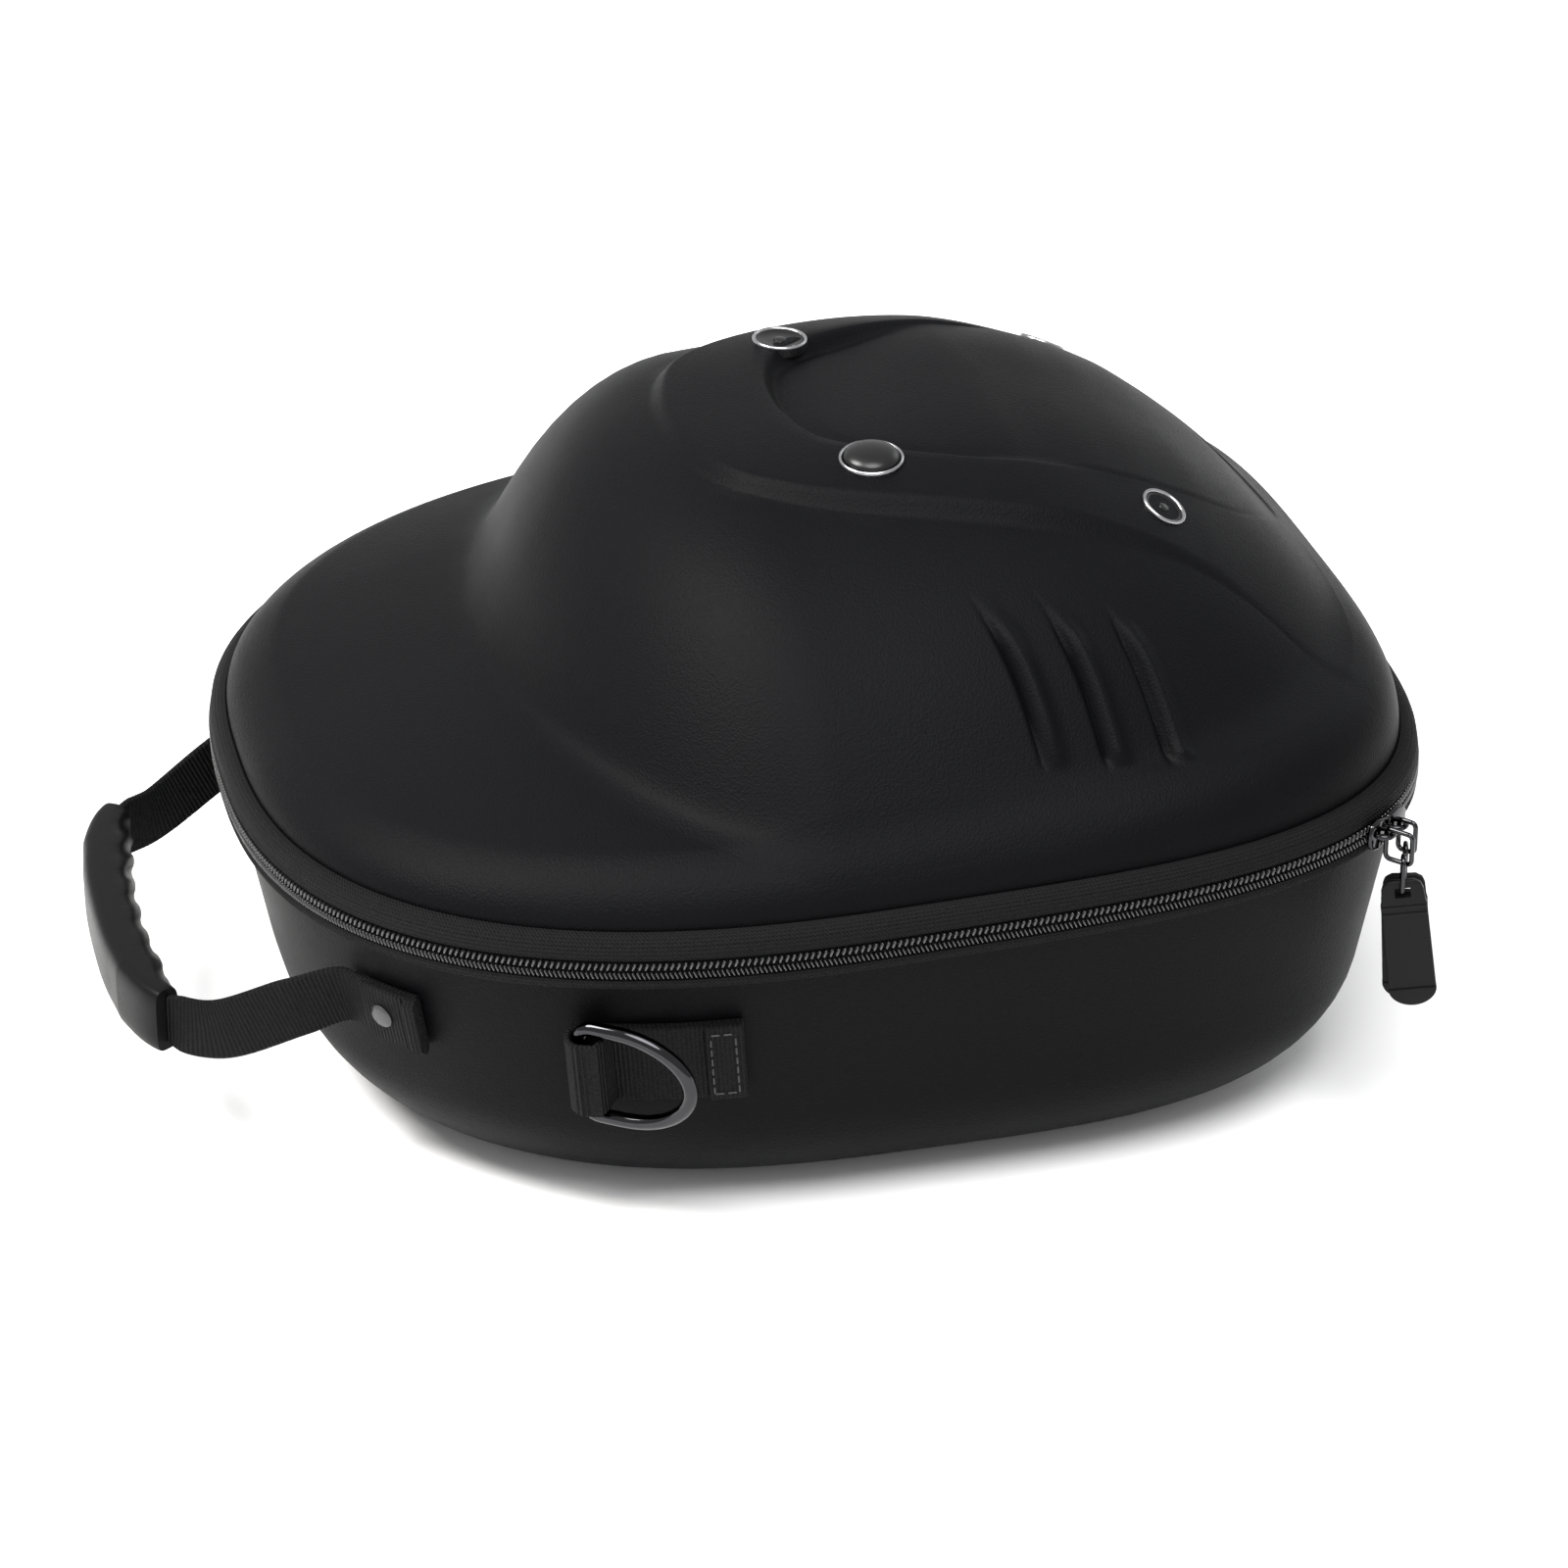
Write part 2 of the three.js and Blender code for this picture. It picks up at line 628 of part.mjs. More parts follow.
// Webbing of the handle, from one rivet tab round the brim end to the other
function handlePath() {
  const offset = gap + webbingThickness / 2;
  const onWall = (degrees, lift = 0) => {
    const frame = wallFrame(radians(-degrees), handleHeight);
    return frame.at.clone().addScaledVector(frame.out, offset + lift);
  };
  const frontX = -frontReach + widestX;
  const near = [
    onWall(tabAngle), onWall(mix(tabAngle, rivetAngle, 0.5)), onWall(rivetAngle),
    onWall(mix(rivetAngle, leaveAngle, 0.5), 0.3 * webbingLift), onWall(leaveAngle, webbingLift),
    new THREE.Vector3(frontX + 0.05 * frontReach, -0.505 * halfWidth, mix(handleHeight, gripHeight, 0.25)),
    new THREE.Vector3(frontX - 0.4 * handleReach, -0.44 * halfWidth, mix(handleHeight, gripHeight, 0.7)),
    new THREE.Vector3(frontX - 0.78 * handleReach, -gripLength / 2, gripHeight),
    new THREE.Vector3(frontX - 0.96 * handleReach, -gripLength / 4, gripHeight),
  ];
  const middle = new THREE.Vector3(frontX - handleReach, 0, gripHeight);
  const far = near.slice().reverse().map((p) => new THREE.Vector3(p.x, -p.y, p.z));
  return new THREE.CatmullRomCurve3([...near, middle, ...far], false, 'centripetal');
}

// Directions across the webbing at a point of its path: up the wall on the tabs, upright in front
function webbingFrame(path, share) {
  const at = path.getPoint(share);
  const along = path.getTangent(share);
  const wall = wallFrame(Math.atan2(at.y, at.x - widestX), handleHeight);
  const frontX = -frontReach + widestX;
  const upright = smoothStep((frontX + 0.14 * frontReach - at.x) / (0.12 * frontReach));
  const up = wall.up.clone().lerp(new THREE.Vector3(0, 0, 1), upright).normalize();
  up.addScaledVector(along, -up.dot(along)).normalize();
  const out = along.clone().cross(up).normalize();
  return { at, along, up, out };
}

function gripShare(at) {
  const start = gripLength / 2 + 13;
  return smoothStep((start - Math.abs(at.y)) / 8) * (at.x < -frontReach + widestX ? 1 : 0);
}

// Shares of the path at which the grip has its sections
function gripStations(path) {
  const shareAt = (y) => {
    let low = 0;
    let high = 1;
    for (let k = 0; k < 40; k += 1) {
      const middle = (low + high) / 2;
      if (path.getPoint(middle).y < y) low = middle;
      else high = middle;
    }
    return low;
  };
  const steps = 10;
  const stations = [];
  for (let k = 0; k <= steps; k += 1) stations.push(shareAt(mix(-gripLength / 2, gripLength / 2, k / steps)));
  return stations;
}

function makeHandleStrap(path) {
  const inGrip = gripStations(path);
  const leadSteps = 14;
  const lead = [];
  for (let k = 0; k < leadSteps; k += 1) lead.push(inGrip[0] * k / leadSteps);
  const tail = lead.slice().reverse().map((share) => 1 - share);
  const sections = [];
  for (const share of [...lead, ...inGrip, ...tail]) {
    const { at, up, out } = webbingFrame(path, share);
    const half = mix(webbingWidth, gripWebbingWidth, gripShare(at)) / 2;
    const thick = webbingThickness / 2;
    const corner = ([w, t]) => at.clone().addScaledVector(up, w).addScaledVector(out, t).toArray();
    sections.push([[-half, -thick], [half, -thick], [half, thick], [-half, thick]].map(corner));
  }
  return bar(sections);
}

function makeGrip(path) {
  const stations = gripStations(path);
  const sides = 12;
  const outer = [];
  const inner = [];
  for (const [k, share] of stations.entries()) {
    const { at, up, out } = webbingFrame(path, share);
    const swell = 0.86 + 0.14 * Math.sin(Math.PI * k / (stations.length - 1)) ** 0.5;
    const outerRing = [];
    const innerRing = [];
    const slotHalf = mix(webbingWidth, gripWebbingWidth, gripShare(at)) / 2 + gap;
    const slotThick = webbingThickness / 2 + gap;
    for (let i = 0; i < sides; i += 1) {
      const turn = 2 * Math.PI * (i + 0.5) / sides;
      const w = Math.sin(turn);
      const t = Math.cos(turn);
      const outerW = w * gripTall / 2 * swell;
      const outerT = t * gripDepth / 2 * swell;
      const innerW = clamp(w * 1.6, -1, 1) * slotHalf;
      const innerT = Math.sign(t) * slotThick;
      const point = (a, b) => at.clone().addScaledVector(up, a).addScaledVector(out, b).toArray();
      outerRing.push(point(outerW, outerT));
      innerRing.push(point(innerW, innerT));
    }
    outer.push(outerRing);
    inner.push(innerRing);
  }
  return sleeve(outer, inner);
}

function makeRivet(side) {
  const frame = wallFrame(radians(side * rivetAngle), handleHeight);
  const profile = [[0, 0], [rivetRadius, 0], [rivetRadius, 0.6], [rivetRadius * 0.7, 1.3], [0, 1.5]];
  const outline = profile.map(([r, z]) => new THREE.Vector2(r, z));
  const turned = new THREE.LatheGeometry(outline, rivetSides);
  const rivet = piece(side < 0 ? 'handle_rivet_near' : 'handle_rivet_far', toGeometry(toSolid(turned)), 'metal');
  const lift = gap + webbingThickness + gap;
  const at = frame.at.clone().addScaledVector(frame.out, lift);
  const across = frame.out.clone().cross(frame.up);
  return place(rivet, at, across, frame.out, frame.up);
}

// The loop of webbing is wider than the ring's bar, which hangs against the loop's front
const ringRoom = ringWire / 2 + gap + ringLoopSlack;
const ringBarOut = gap + ringStrapThickness + ringRoom;

// Strap that holds a ring: two layers on the wall, with a loop round the ring's bar
function makeRingStrap(side) {
  const angle = radians(side * ringAngle);
  const frame = wallFrame(angle, ringHeight);
  const loopRadius = ringRoom + ringStrapThickness;
  const stations = 7;
  const wall = [];
  let turn = angle;
  for (let k = 0; k <= stations; k += 1) {
    const target = ringStrapLength * k / stations;
    for (let step = 0; step < 60; step += 1) {
      const p = new THREE.Vector3(...trayPoint(turn, ringHeight)).sub(frame.at);
      if (p.dot(frame.rearward) >= target) break;
      turn -= side * 0.006;
    }
    const p = new THREE.Vector3(...trayPoint(turn, ringHeight)).sub(frame.at);
    wall.push([p.dot(frame.rearward), p.dot(frame.out)]);
  }
  const layers = 2 * ringStrapThickness;
  const shape = new THREE.Shape();
  shape.moveTo(0, gap);
  for (const [s, n] of wall.slice(1)) shape.lineTo(s, n + gap);
  for (const [s, n] of wall.slice(1).reverse()) shape.lineTo(s, n + gap + layers);
  const start = Math.asin((gap + layers - ringBarOut) / loopRadius);
  shape.absarc(0, ringBarOut, loopRadius, start, 1.5 * Math.PI, false);
  const hole = new THREE.Path();
  hole.absarc(0, ringBarOut, ringRoom, 0, 2 * Math.PI, true);
  shape.holes.push(hole);
  const geometry = new THREE.ExtrudeGeometry(shape, {
    depth: ringStrapWidth, bevelEnabled: false, curveSegments: 6,
  });
  geometry.translate(0, 0, -ringStrapWidth / 2);
  const strap = piece(side < 0 ? 'ring_strap_near' : 'ring_strap_far', toGeometry(toSolid(geometry)), 'webbing');
  const across = frame.rearward.clone().cross(frame.out);
  return place(strap, frame.at, frame.rearward, frame.out, across);
}

// A wire of round section swept round a closed path of points
function wireLoop(path, radius) {
  const count = path.length;
  const sections = path.map((p, k) => {
    const along = path[(k + 1) % count].clone().sub(path[(k + count - 1) % count]).normalize();
    const flat = new THREE.Vector3(0, 0, 1);
    const across = along.clone().cross(flat).normalize();
    const section = [];
    for (let i = 0; i < wireSides; i += 1) {
      const turn = 2 * Math.PI * (i + 0.5) / wireSides;
      const point = p.clone().addScaledVector(across, radius * Math.cos(turn));
      section.push(point.addScaledVector(flat, radius * Math.sin(turn)).toArray());
    }
    return section;
  });
  return bar(sections, true);
}

// D-shaped ring in its own plane: the bar along Y, the bow towards +X
function makeRing(side) {
  const sideRoom = 0.7;
  const half = ringStrapWidth / 2 + sideRoom + ringWire / 2;
  const corner = 3.4;
  const shoulder = 0.34 * ringReach;
  const path = [new THREE.Vector3(0, -half + corner, 0), new THREE.Vector3(0, half - corner, 0)];
  path.push(new THREE.Vector3(corner * 0.3, half - corner * 0.3, 0));
  path.push(new THREE.Vector3(corner, half, 0));
  const bowSteps = 10;
  for (let k = 0; k <= bowSteps; k += 1) {
    const turn = Math.PI / 2 - Math.PI * k / bowSteps;
    const x = shoulder + (ringReach - shoulder) * Math.cos(turn);
    path.push(new THREE.Vector3(x, half * Math.sin(turn), 0));
  }
  path.push(new THREE.Vector3(corner, -half, 0));
  path.push(new THREE.Vector3(corner * 0.3, -half + corner * 0.3, 0));
  const ring = piece(side < 0 ? 'd_ring_near' : 'd_ring_far', wireLoop(path, ringWire / 2), 'metal');
  const frame = wallFrame(radians(side * ringAngle), ringHeight);
  const at = frame.at.clone().addScaledVector(frame.out, ringBarOut).addScaledVector(frame.rearward, -ringSeat);
  const lean = radians(ringLeanOut);
  const reach = frame.rearward.clone().multiplyScalar(Math.cos(lean)).addScaledVector(frame.out, Math.sin(lean));
  const across = reach.clone().cross(frame.up).normalize();
  return place(ring, at, reach, frame.up, across);
}

// Sliders stand outside the teeth. Local axes: X along the zip, Y outwards, Z up
const sliderFace = teethProud + gap;

const innerArmOut = sliderFace + sliderPlate + linkWire / 2 + 2 * gap;
const bailTopOut = innerArmOut + linkWire / 2 + wireRoom + bailWire / 2;
const linkTop = bailWire / 2 + wireRoom + linkWire / 2;

// What hangs on each slider: a link on the bail, a ring in the link, and a pull in the ring.
// The pull at the brim's side hangs lower and further out, in front of the other one. The rows
// hold shares of the link's reach and drop, of the ring's drop, and of the pull's tilt.
const hangers = {
  rear: { way: -1, reach: 0.64, drop: 0.85, ringAt: 0.3, ringDrop: 0.85, tilt: 0.4 },
  brim: { way: 1, reach: 1, drop: 1, ringAt: 0.7, ringDrop: 1, tilt: 1 },
};

function makeSlider(way) {
  const shape = new THREE.Shape();
  const half = sliderHeight / 2;
  shape.moveTo(way * gap / 2, -half * 0.8);
  shape.lineTo(way * sliderLength * 0.7, -half);
  shape.lineTo(way * sliderLength, -half * 0.5);
  shape.lineTo(way * sliderLength, half * 0.5);
  shape.lineTo(way * sliderLength * 0.7, half);
  shape.lineTo(way * gap / 2, half * 0.8);
  const plate = new THREE.ExtrudeGeometry(shape, { depth: sliderPlate, bevelEnabled: false });
  plate.rotateX(Math.PI / 2);
  plate.translate(0, sliderFace + sliderPlate, 0);
  const foot = sliderFace + sliderPlate - 0.6;
  const bail = [];
  const bailSteps = 8;
  for (let k = 0; k <= bailSteps; k += 1) {
    const turn = Math.PI * k / bailSteps;
    const x = way * pullSpread / 2 - bailSpan / 2 * Math.cos(turn);
    const y = mix(foot, bailTopOut, Math.sin(turn) ** 0.7);
    const section = [];
    for (let i = 0; i < wireSides; i += 1) {
      const around = 2 * Math.PI * (i + 0.5) / wireSides;
      const outX = -Math.cos(turn) * Math.cos(around) * bailWire / 2;
      const outY = Math.sin(turn) * Math.cos(around) * bailWire / 2;
      section.push([x + outX, y + outY, Math.sin(around) * bailWire / 2]);
    }
    bail.push(section);
  }
  return toGeometry(toSolid(plate).add(toSolid(bar(bail))));
}

function roundedLoop(left, right, low, high, radius) {
  const path = [];
  const corners = [[right, high, 0], [left, high, 90], [left, low, 180], [right, low, 270]];
  for (const [x, y, from] of corners) {
    const centreX = x - radius * Math.sign(x - (left + right) / 2);
    const centreY = y - radius * Math.sign(y - (low + high) / 2);
    for (const turned of [15, 75]) {
      const turn = radians(from + turned);
      path.push(new THREE.Vector3(centreX + radius * Math.cos(turn), centreY + radius * Math.sin(turn), 0));
    }
  }
  return path;
}

function makeLink({ way, reach, drop }) {
  const path = roundedLoop(innerArmOut, innerArmOut + reach * linkReach, -drop * linkDrop, linkTop, 1.5);
  const turn = new THREE.Matrix4().makeBasis(
    new THREE.Vector3(0, 1, 0), new THREE.Vector3(0, 0, 1), new THREE.Vector3(1, 0, 0));
  return wireLoop(path, linkWire / 2).applyMatrix4(turn).translate(way * pullSpread / 2, 0, 0);
}

// The ring and its pull are twisted on the link, so that the pull's broad side faces near and forward
function twist(geometry, { way, ringAt }) {
  geometry.rotateZ(radians(pullTurn));
  return geometry.translate(way * pullSpread / 2, innerArmOut + ringAt * linkReach, 0);
}

function ringHeights({ drop, ringDrop }) {
  const high = -drop * linkDrop + linkWire + wireRoom;
  return { low: high - ringDrop * pullRingDrop, high };
}

function makePullRing(hanger) {
  const { low, high } = ringHeights(hanger);
  const loop = wireLoop(roundedLoop(-pullRingHalf, pullRingHalf, low, high, 1.5), linkWire / 2);
  return twist(loop.rotateX(Math.PI / 2), hanger);
}

function makePull(hanger) {
  const half = pullWidth / 2;
  const topRound = 2;
  const endRound = 5.4;
  const steps = 4;
  const corners = [
    [half - topRound, -topRound, topRound, 90], [half - endRound, endRound - pullLength, endRound, 0],
    [endRound - half, endRound - pullLength, endRound, -90], [topRound - half, -topRound, topRound, -180],
  ];
  const outline = [];
  for (const [x, y, radius, from] of corners) {
    for (let k = 0; k <= steps; k += 1) {
      const turn = radians(from - 90 * k / steps);
      outline.push(new THREE.Vector2(x + radius * Math.cos(turn), y + radius * Math.sin(turn)));
    }
  }
  const shape = new THREE.Shape(outline);
  const holeTop = -2.2;
  const holeLow = holeTop - 3;
  const holeHalf = 2.2;
  const hole = new THREE.Path();
  hole.moveTo(-holeHalf, holeTop);
  hole.lineTo(-holeHalf, holeLow);
  hole.lineTo(holeHalf, holeLow);
  hole.lineTo(holeHalf, holeTop);
  shape.holes.push(hole);
  const plate = new THREE.ExtrudeGeometry(shape, { depth: pullThickness, bevelEnabled: false });
  plate.translate(0, -holeTop, -pullThickness / 2);
  plate.rotateZ(radians(hanger.tilt * pullTilt));
  const turn = new THREE.Matrix4().makeBasis(
    new THREE.Vector3(0, 1, 0), new THREE.Vector3(0, 0, 1), new THREE.Vector3(1, 0, 0));
  plate.applyMatrix4(turn);
  plate.translate(0, 0, ringHeights(hanger).low + linkWire / 2 + wireRoom);
  return toGeometry(toSolid(twist(plate, hanger)));
}

function sliderGroup() {
  const angle = -radians(sliderAngle);
  const [x, y] = planPoint(angle, 0);
  const [aheadX, aheadY] = planPoint(angle + 0.02, 0);
  const [behindX, behindY] = planPoint(angle - 0.02, 0);
  const forward = new THREE.Vector3(behindX - aheadX, behindY - aheadY, 0).normalize();
  const up = new THREE.Vector3(0, 0, 1);
  const out = up.clone().cross(forward);
  const group = new THREE.Group();
  for (const [side, hanger] of Object.entries(hangers)) {
    group.add(piece(`slider_${side}`, makeSlider(hanger.way), 'metal'));
    group.add(piece(`slider_link_${side}`, makeLink(hanger), 'metal'));
    group.add(piece(`pull_ring_${side}`, makePullRing(hanger), 'metal'));
    group.add(piece(`pull_tab_${side}`, makePull(hanger), 'pull'));
  }
  return place(group, new THREE.Vector3(x, y, partingZ(x)), forward, out, up);
}

function fittingMesh(fitting) {
  const { at, out } = lidFrame(fitting.x * halfLength, fitting.y * halfWidth);
  const mesh = piece(fitting.name, makeFitting(fitting), fitting.domed ? 'metal' : 'bright');
  mesh.position.copy(at);
  mesh.quaternion.setFromUnitVectors(new THREE.Vector3(0, 1, 0), out);
  return mesh;
}

function makeBase() {
  const base = new THREE.Group();
  const path = handlePath();
  base.add(piece('base_shell', makeTray(), 'shell'));
  base.add(piece('lower_tape', zipBand(lowerTapeSection(), 0, fullTurn), 'tape'));
  base.add(piece('lower_teeth', zipBand(lowTeeth, zipFrom, zipTo), 'teeth'));
  base.add(piece('hinge_tape_lower', zipBand(lowTeeth, zipTo - fullTurn + hingeTrim, zipFrom - hingeTrim), 'tape'));
  base.add(piece('handle_strap', makeHandleStrap(path), 'webbing'));
  base.add(piece('handle_grip', makeGrip(path), 'grip'));
  for (const side of [-1, 1]) base.add(makeRivet(side), makeRingStrap(side));
  base.add(sliderGroup());
  return base;
}

function makeCover() {
  const cover = new THREE.Group();
  cover.add(piece('lid_shell', finishedLid(), 'shell'));
  cover.add(piece('upper_tape', zipBand(upperTapeSection(), 0, fullTurn), 'tape'));
  cover.add(piece('upper_teeth', zipBand(highTeeth, zipFrom, zipTo), 'teeth'));
  cover.add(piece('hinge_tape_upper', zipBand(highTeeth, zipTo - fullTurn + hingeTrim, zipFrom - hingeTrim), 'tape'));
  for (const fitting of fittings) cover.add(fittingMesh(fitting));
  return cover;
}

const hatCase = new THREE.Group();
hatCase.add(makeBase(), makeCover(), makeRing(-1), makeRing(1));

export default hatCase;
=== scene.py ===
# %% [markdown]
# This lesson dresses a moulded hat case. On the real thing a foam sheet faced with cloth is pressed
# into a tray and a lid, and the two are sewn to a long zip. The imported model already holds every
# piece at its real size, so it is loaded first and used as a fixed frame.

# %% Load the frame
import math

import bpy
import numpy as np
from mathutils import Matrix, Vector


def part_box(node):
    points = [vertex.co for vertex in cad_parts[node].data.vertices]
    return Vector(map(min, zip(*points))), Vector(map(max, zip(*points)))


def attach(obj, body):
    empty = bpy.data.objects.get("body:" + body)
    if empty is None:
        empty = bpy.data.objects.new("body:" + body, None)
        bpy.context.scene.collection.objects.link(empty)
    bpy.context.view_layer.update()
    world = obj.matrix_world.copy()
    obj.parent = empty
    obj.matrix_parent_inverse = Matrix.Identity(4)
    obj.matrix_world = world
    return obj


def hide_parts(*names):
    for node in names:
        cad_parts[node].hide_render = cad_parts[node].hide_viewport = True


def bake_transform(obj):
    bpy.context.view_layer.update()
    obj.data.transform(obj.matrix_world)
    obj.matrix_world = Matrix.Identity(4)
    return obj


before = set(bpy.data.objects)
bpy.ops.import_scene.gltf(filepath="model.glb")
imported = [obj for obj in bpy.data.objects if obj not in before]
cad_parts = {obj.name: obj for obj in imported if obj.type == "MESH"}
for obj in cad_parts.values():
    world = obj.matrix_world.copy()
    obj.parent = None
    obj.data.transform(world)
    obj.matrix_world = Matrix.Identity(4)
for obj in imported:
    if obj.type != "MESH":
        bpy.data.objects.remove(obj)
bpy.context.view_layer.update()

mm = 0.001
bpy.ops.object.select_all(action="DESELECT")

# %% [markdown]
# The camera stands where the photograph's stood: a little to the brim's side, looking down by about
# 27 degrees from a metre and a half. A long lens keeps the case's lines nearly parallel.

# %% Camera
photo_size = 1600
focal_pixels = 5308.0
camera_turn = math.radians(-13.43)
camera_height = math.radians(27.38)
camera_roll = math.radians(-0.28)
camera_distance = 1.52107
camera_target = Vector((-0.00294, 0, 0.06289))


def aim_camera():
    back = Vector((math.sin(camera_turn) * math.cos(camera_height),
                   -math.cos(camera_turn) * math.cos(camera_height), math.sin(camera_height)))
    level = Vector((math.cos(camera_turn), math.sin(camera_turn), 0))
    upright = back.cross(level)
    right = level * math.cos(camera_roll) + upright * math.sin(camera_roll)
    up = back.cross(right)
    bpy.ops.object.camera_add(location=camera_target + back * camera_distance)
    camera = bpy.context.object
    turn = Matrix((right, up, back)).transposed()
    camera.rotation_euler = turn.to_euler()
    camera.data.lens = camera.data.sensor_width * focal_pixels / photo_size
    bpy.context.scene.camera = camera
    return camera


camera = aim_camera()
print("camera lens:", round(camera.data.lens, 1), "mm")

# %% [markdown]
# A black case shows its shape only by soft highlights. A large lamp above the near side lights the
# flat tops and the flank, one from the brim's side draws the crown and the brim's edge, and a weak
# one behind the rear gives a cool rim. The floor and the sky are plain and pale.

# %% Floor, sky and lamps
lamps_look_at = Vector((0, 0, 0.09))


def add_lamp(name, place, size, power, colour):
    bpy.ops.object.light_add(type="AREA", location=place)
    lamp = bpy.context.object
    lamp.name = name
    lamp.data.shape = "DISK"
    lamp.data.size = size
    lamp.data.energy = power
    lamp.data.color = colour
    lamp.rotation_euler = (Vector(place) - lamps_look_at).to_track_quat("Z", "Y").to_euler()
    return lamp


add_lamp("lamp_above", (-0.1, -0.95, 1.9), 1.4, 56, (1, 1, 1))
add_lamp("lamp_brim_side", (-1.15, 0.05, 1.6), 0.9, 62, (1, 0.985, 0.96))
add_lamp("lamp_rear_rim", (1.3, 0.75, 0.85), 0.7, 2, (0.93, 0.97, 1))
bpy.context.scene.view_settings.view_transform = "Standard"

sky = bpy.data.worlds.new("studio_sky")
sky.use_nodes = True
sky.node_tree.nodes["Background"].inputs["Color"].default_value = (1, 1, 1, 1)
sky.node_tree.nodes["Background"].inputs["Strength"].default_value = 0.88
bpy.context.scene.world = sky

bpy.ops.mesh.primitive_plane_add(size=12, location=(0, 0, -0.0004))
floor = bpy.context.object
floor.name = "floor"

# %% [markdown]
# Materials are built from nodes. Writing `noise * 0.2 + 0.9` is easier to read than a chain of Math
# nodes, so one small class wraps a socket and adds the Math node that each operator stands for. It
# has the operators that this case's materials need.

# %% Sockets that can be calculated with
class Wire:
    """An output socket of a material, with Python's operators."""

    def __init__(self, tree, socket):
        self.tree = tree
        self.socket = socket

    def math(self, operation, *others):
        node = self.tree.nodes.new("ShaderNodeMath")
        node.operation = operation
        for slot, value in zip(node.inputs, (self, *others)):
            connect(self.tree, slot, value)
        return Wire(self.tree, node.outputs[0])

    def __add__(self, other):
        return self.math("ADD", other)

    def __mul__(self, other):
        return self.math("MULTIPLY", other)

    def sine(self):
        return self.math("SINE")

    __radd__ = __add__
    __rmul__ = __mul__


def connect(tree, slot, value):
    if isinstance(value, Wire):
        tree.links.new(value.socket, slot)
    else:
        slot.default_value = value


# %% [markdown]
# A second class holds one material. Its `node` method makes any other node from a type, the settings
# that have to come first, and the values or links of its sockets.

# %% One material being mixed
class Paint:
    """A material with a Principled shader, and one method that adds nodes to it."""

    def __init__(self, name, roughness, metallic=0.0, specular=0.5, sheen=0.0):
        self.material = bpy.data.materials.new(name)
        self.material.use_nodes = True
        self.tree = self.material.node_tree
        self.shader = self.tree.nodes["Principled BSDF"]
        self.set("Roughness", roughness)
        self.set("Metallic", metallic)
        self.set("Specular IOR Level", specular)
        self.set("Sheen Weight", sheen)

    def set(self, socket, value):
        connect(self.tree, self.shader.inputs[socket], value)

    def node(self, kind, settings=None, sockets=None, out=0):
        node = self.tree.nodes.new(kind)
        for key, value in (settings or {}).items():
            setattr(node, key, value)
        for key, value in (sockets or {}).items():
            connect(self.tree, node.inputs[key], value)
        return Wire(self.tree, node.outputs[out])

    def noise(self, place, scale, detail=2.0):
        return self.node("ShaderNodeTexNoise", {}, {"Vector": place, "Scale": scale, "Detail": detail})

    def shade(self, colour, dark, bright, amount):
        """Base colour that goes from a darker to a brighter share of one colour."""
        low = (*[c * dark for c in colour], 1)
        high = (*[c * bright for c in colour], 1)
        self.set("Base Color", self.node("ShaderNodeMix", {"data_type": "RGBA"},
                                         {0: amount, 6: low, 7: high}, out=2))

    def bump(self, height, depth):
        self.set("Normal", self.node("ShaderNodeBump", {}, {"Height": height, "Distance": depth}))


print("helpers for materials ready")

# %% [markdown]
# The shells are faced with a thin stretched cloth. Close to, it shows a fine even grain, and from
# further off a faint unevenness of the foam under it. Both are noise on Object coordinates.

# %% Cloth on the shells, and the lining
cloth_ior = 1.3


def cloth(name, colour, roughness, grain, depth, specular, sheen):
    paint = Paint(name, roughness, specular=specular, sheen=sheen)
    paint.set("IOR", cloth_ior)
    place = paint.node("ShaderNodeTexCoord", out=3)
    fine = paint.noise(place, grain, 3.0)
    broad = paint.noise(place, 26.0, 2.0)
    paint.shade(colour, 0.8, 1.2, fine * 0.6 + broad * 0.4)
    paint.set("Roughness", roughness - 0.06 + 0.12 * broad)
    paint.bump(fine + broad * 0.2, depth)
    return paint.material


shell_cloth = cloth("shell_cloth", (0.0024, 0.00245, 0.0029), roughness=0.46, grain=1500.0, depth=0.00022,
                    specular=0.085, sheen=0.0)
lining_cloth = cloth("lining_cloth", (0.02, 0.0202, 0.0212), roughness=0.9, grain=900.0, depth=0.0003,
                     specular=0.2, sheen=0.25)
print("cloth on", shell_cloth.name, "and", lining_cloth.name)

# %% [markdown]
# Tapes and webbing are woven, and the weave runs along the strip whichever way it bends. So their
# pattern reads the piece's UV map, which holds the distance along the strip and across it.

# %% Woven strips
woven_specular = 0.14


def woven(name, colour, rib_pitch, yarn_pitch, yarn_share, slant, depth, roughness):
    paint = Paint(name, roughness, specular=woven_specular)
    paint.set("IOR", cloth_ior)
    place = paint.node("ShaderNodeUVMap", {"uv_map": "strip"})
    split = paint.tree.nodes.new("ShaderNodeSeparateXYZ")
    paint.tree.links.new(place.socket, split.inputs[0])
    along = Wire(paint.tree, split.outputs[0])
    across = Wire(paint.tree, split.outputs[1])
    rib = ((along + across * slant) * (2 * math.pi / rib_pitch)).sine()
    yarn = (across * (2 * math.pi / yarn_pitch)).sine()
    fuzz = paint.noise(paint.node("ShaderNodeTexCoord", out=3), 1100.0)
    weave = rib * 0.5 + yarn * yarn_share + fuzz * 1.2
    paint.shade(colour, 0.5, 1.5, weave * 0.5 + 0.2)
    paint.bump(weave, depth)
    return paint.material


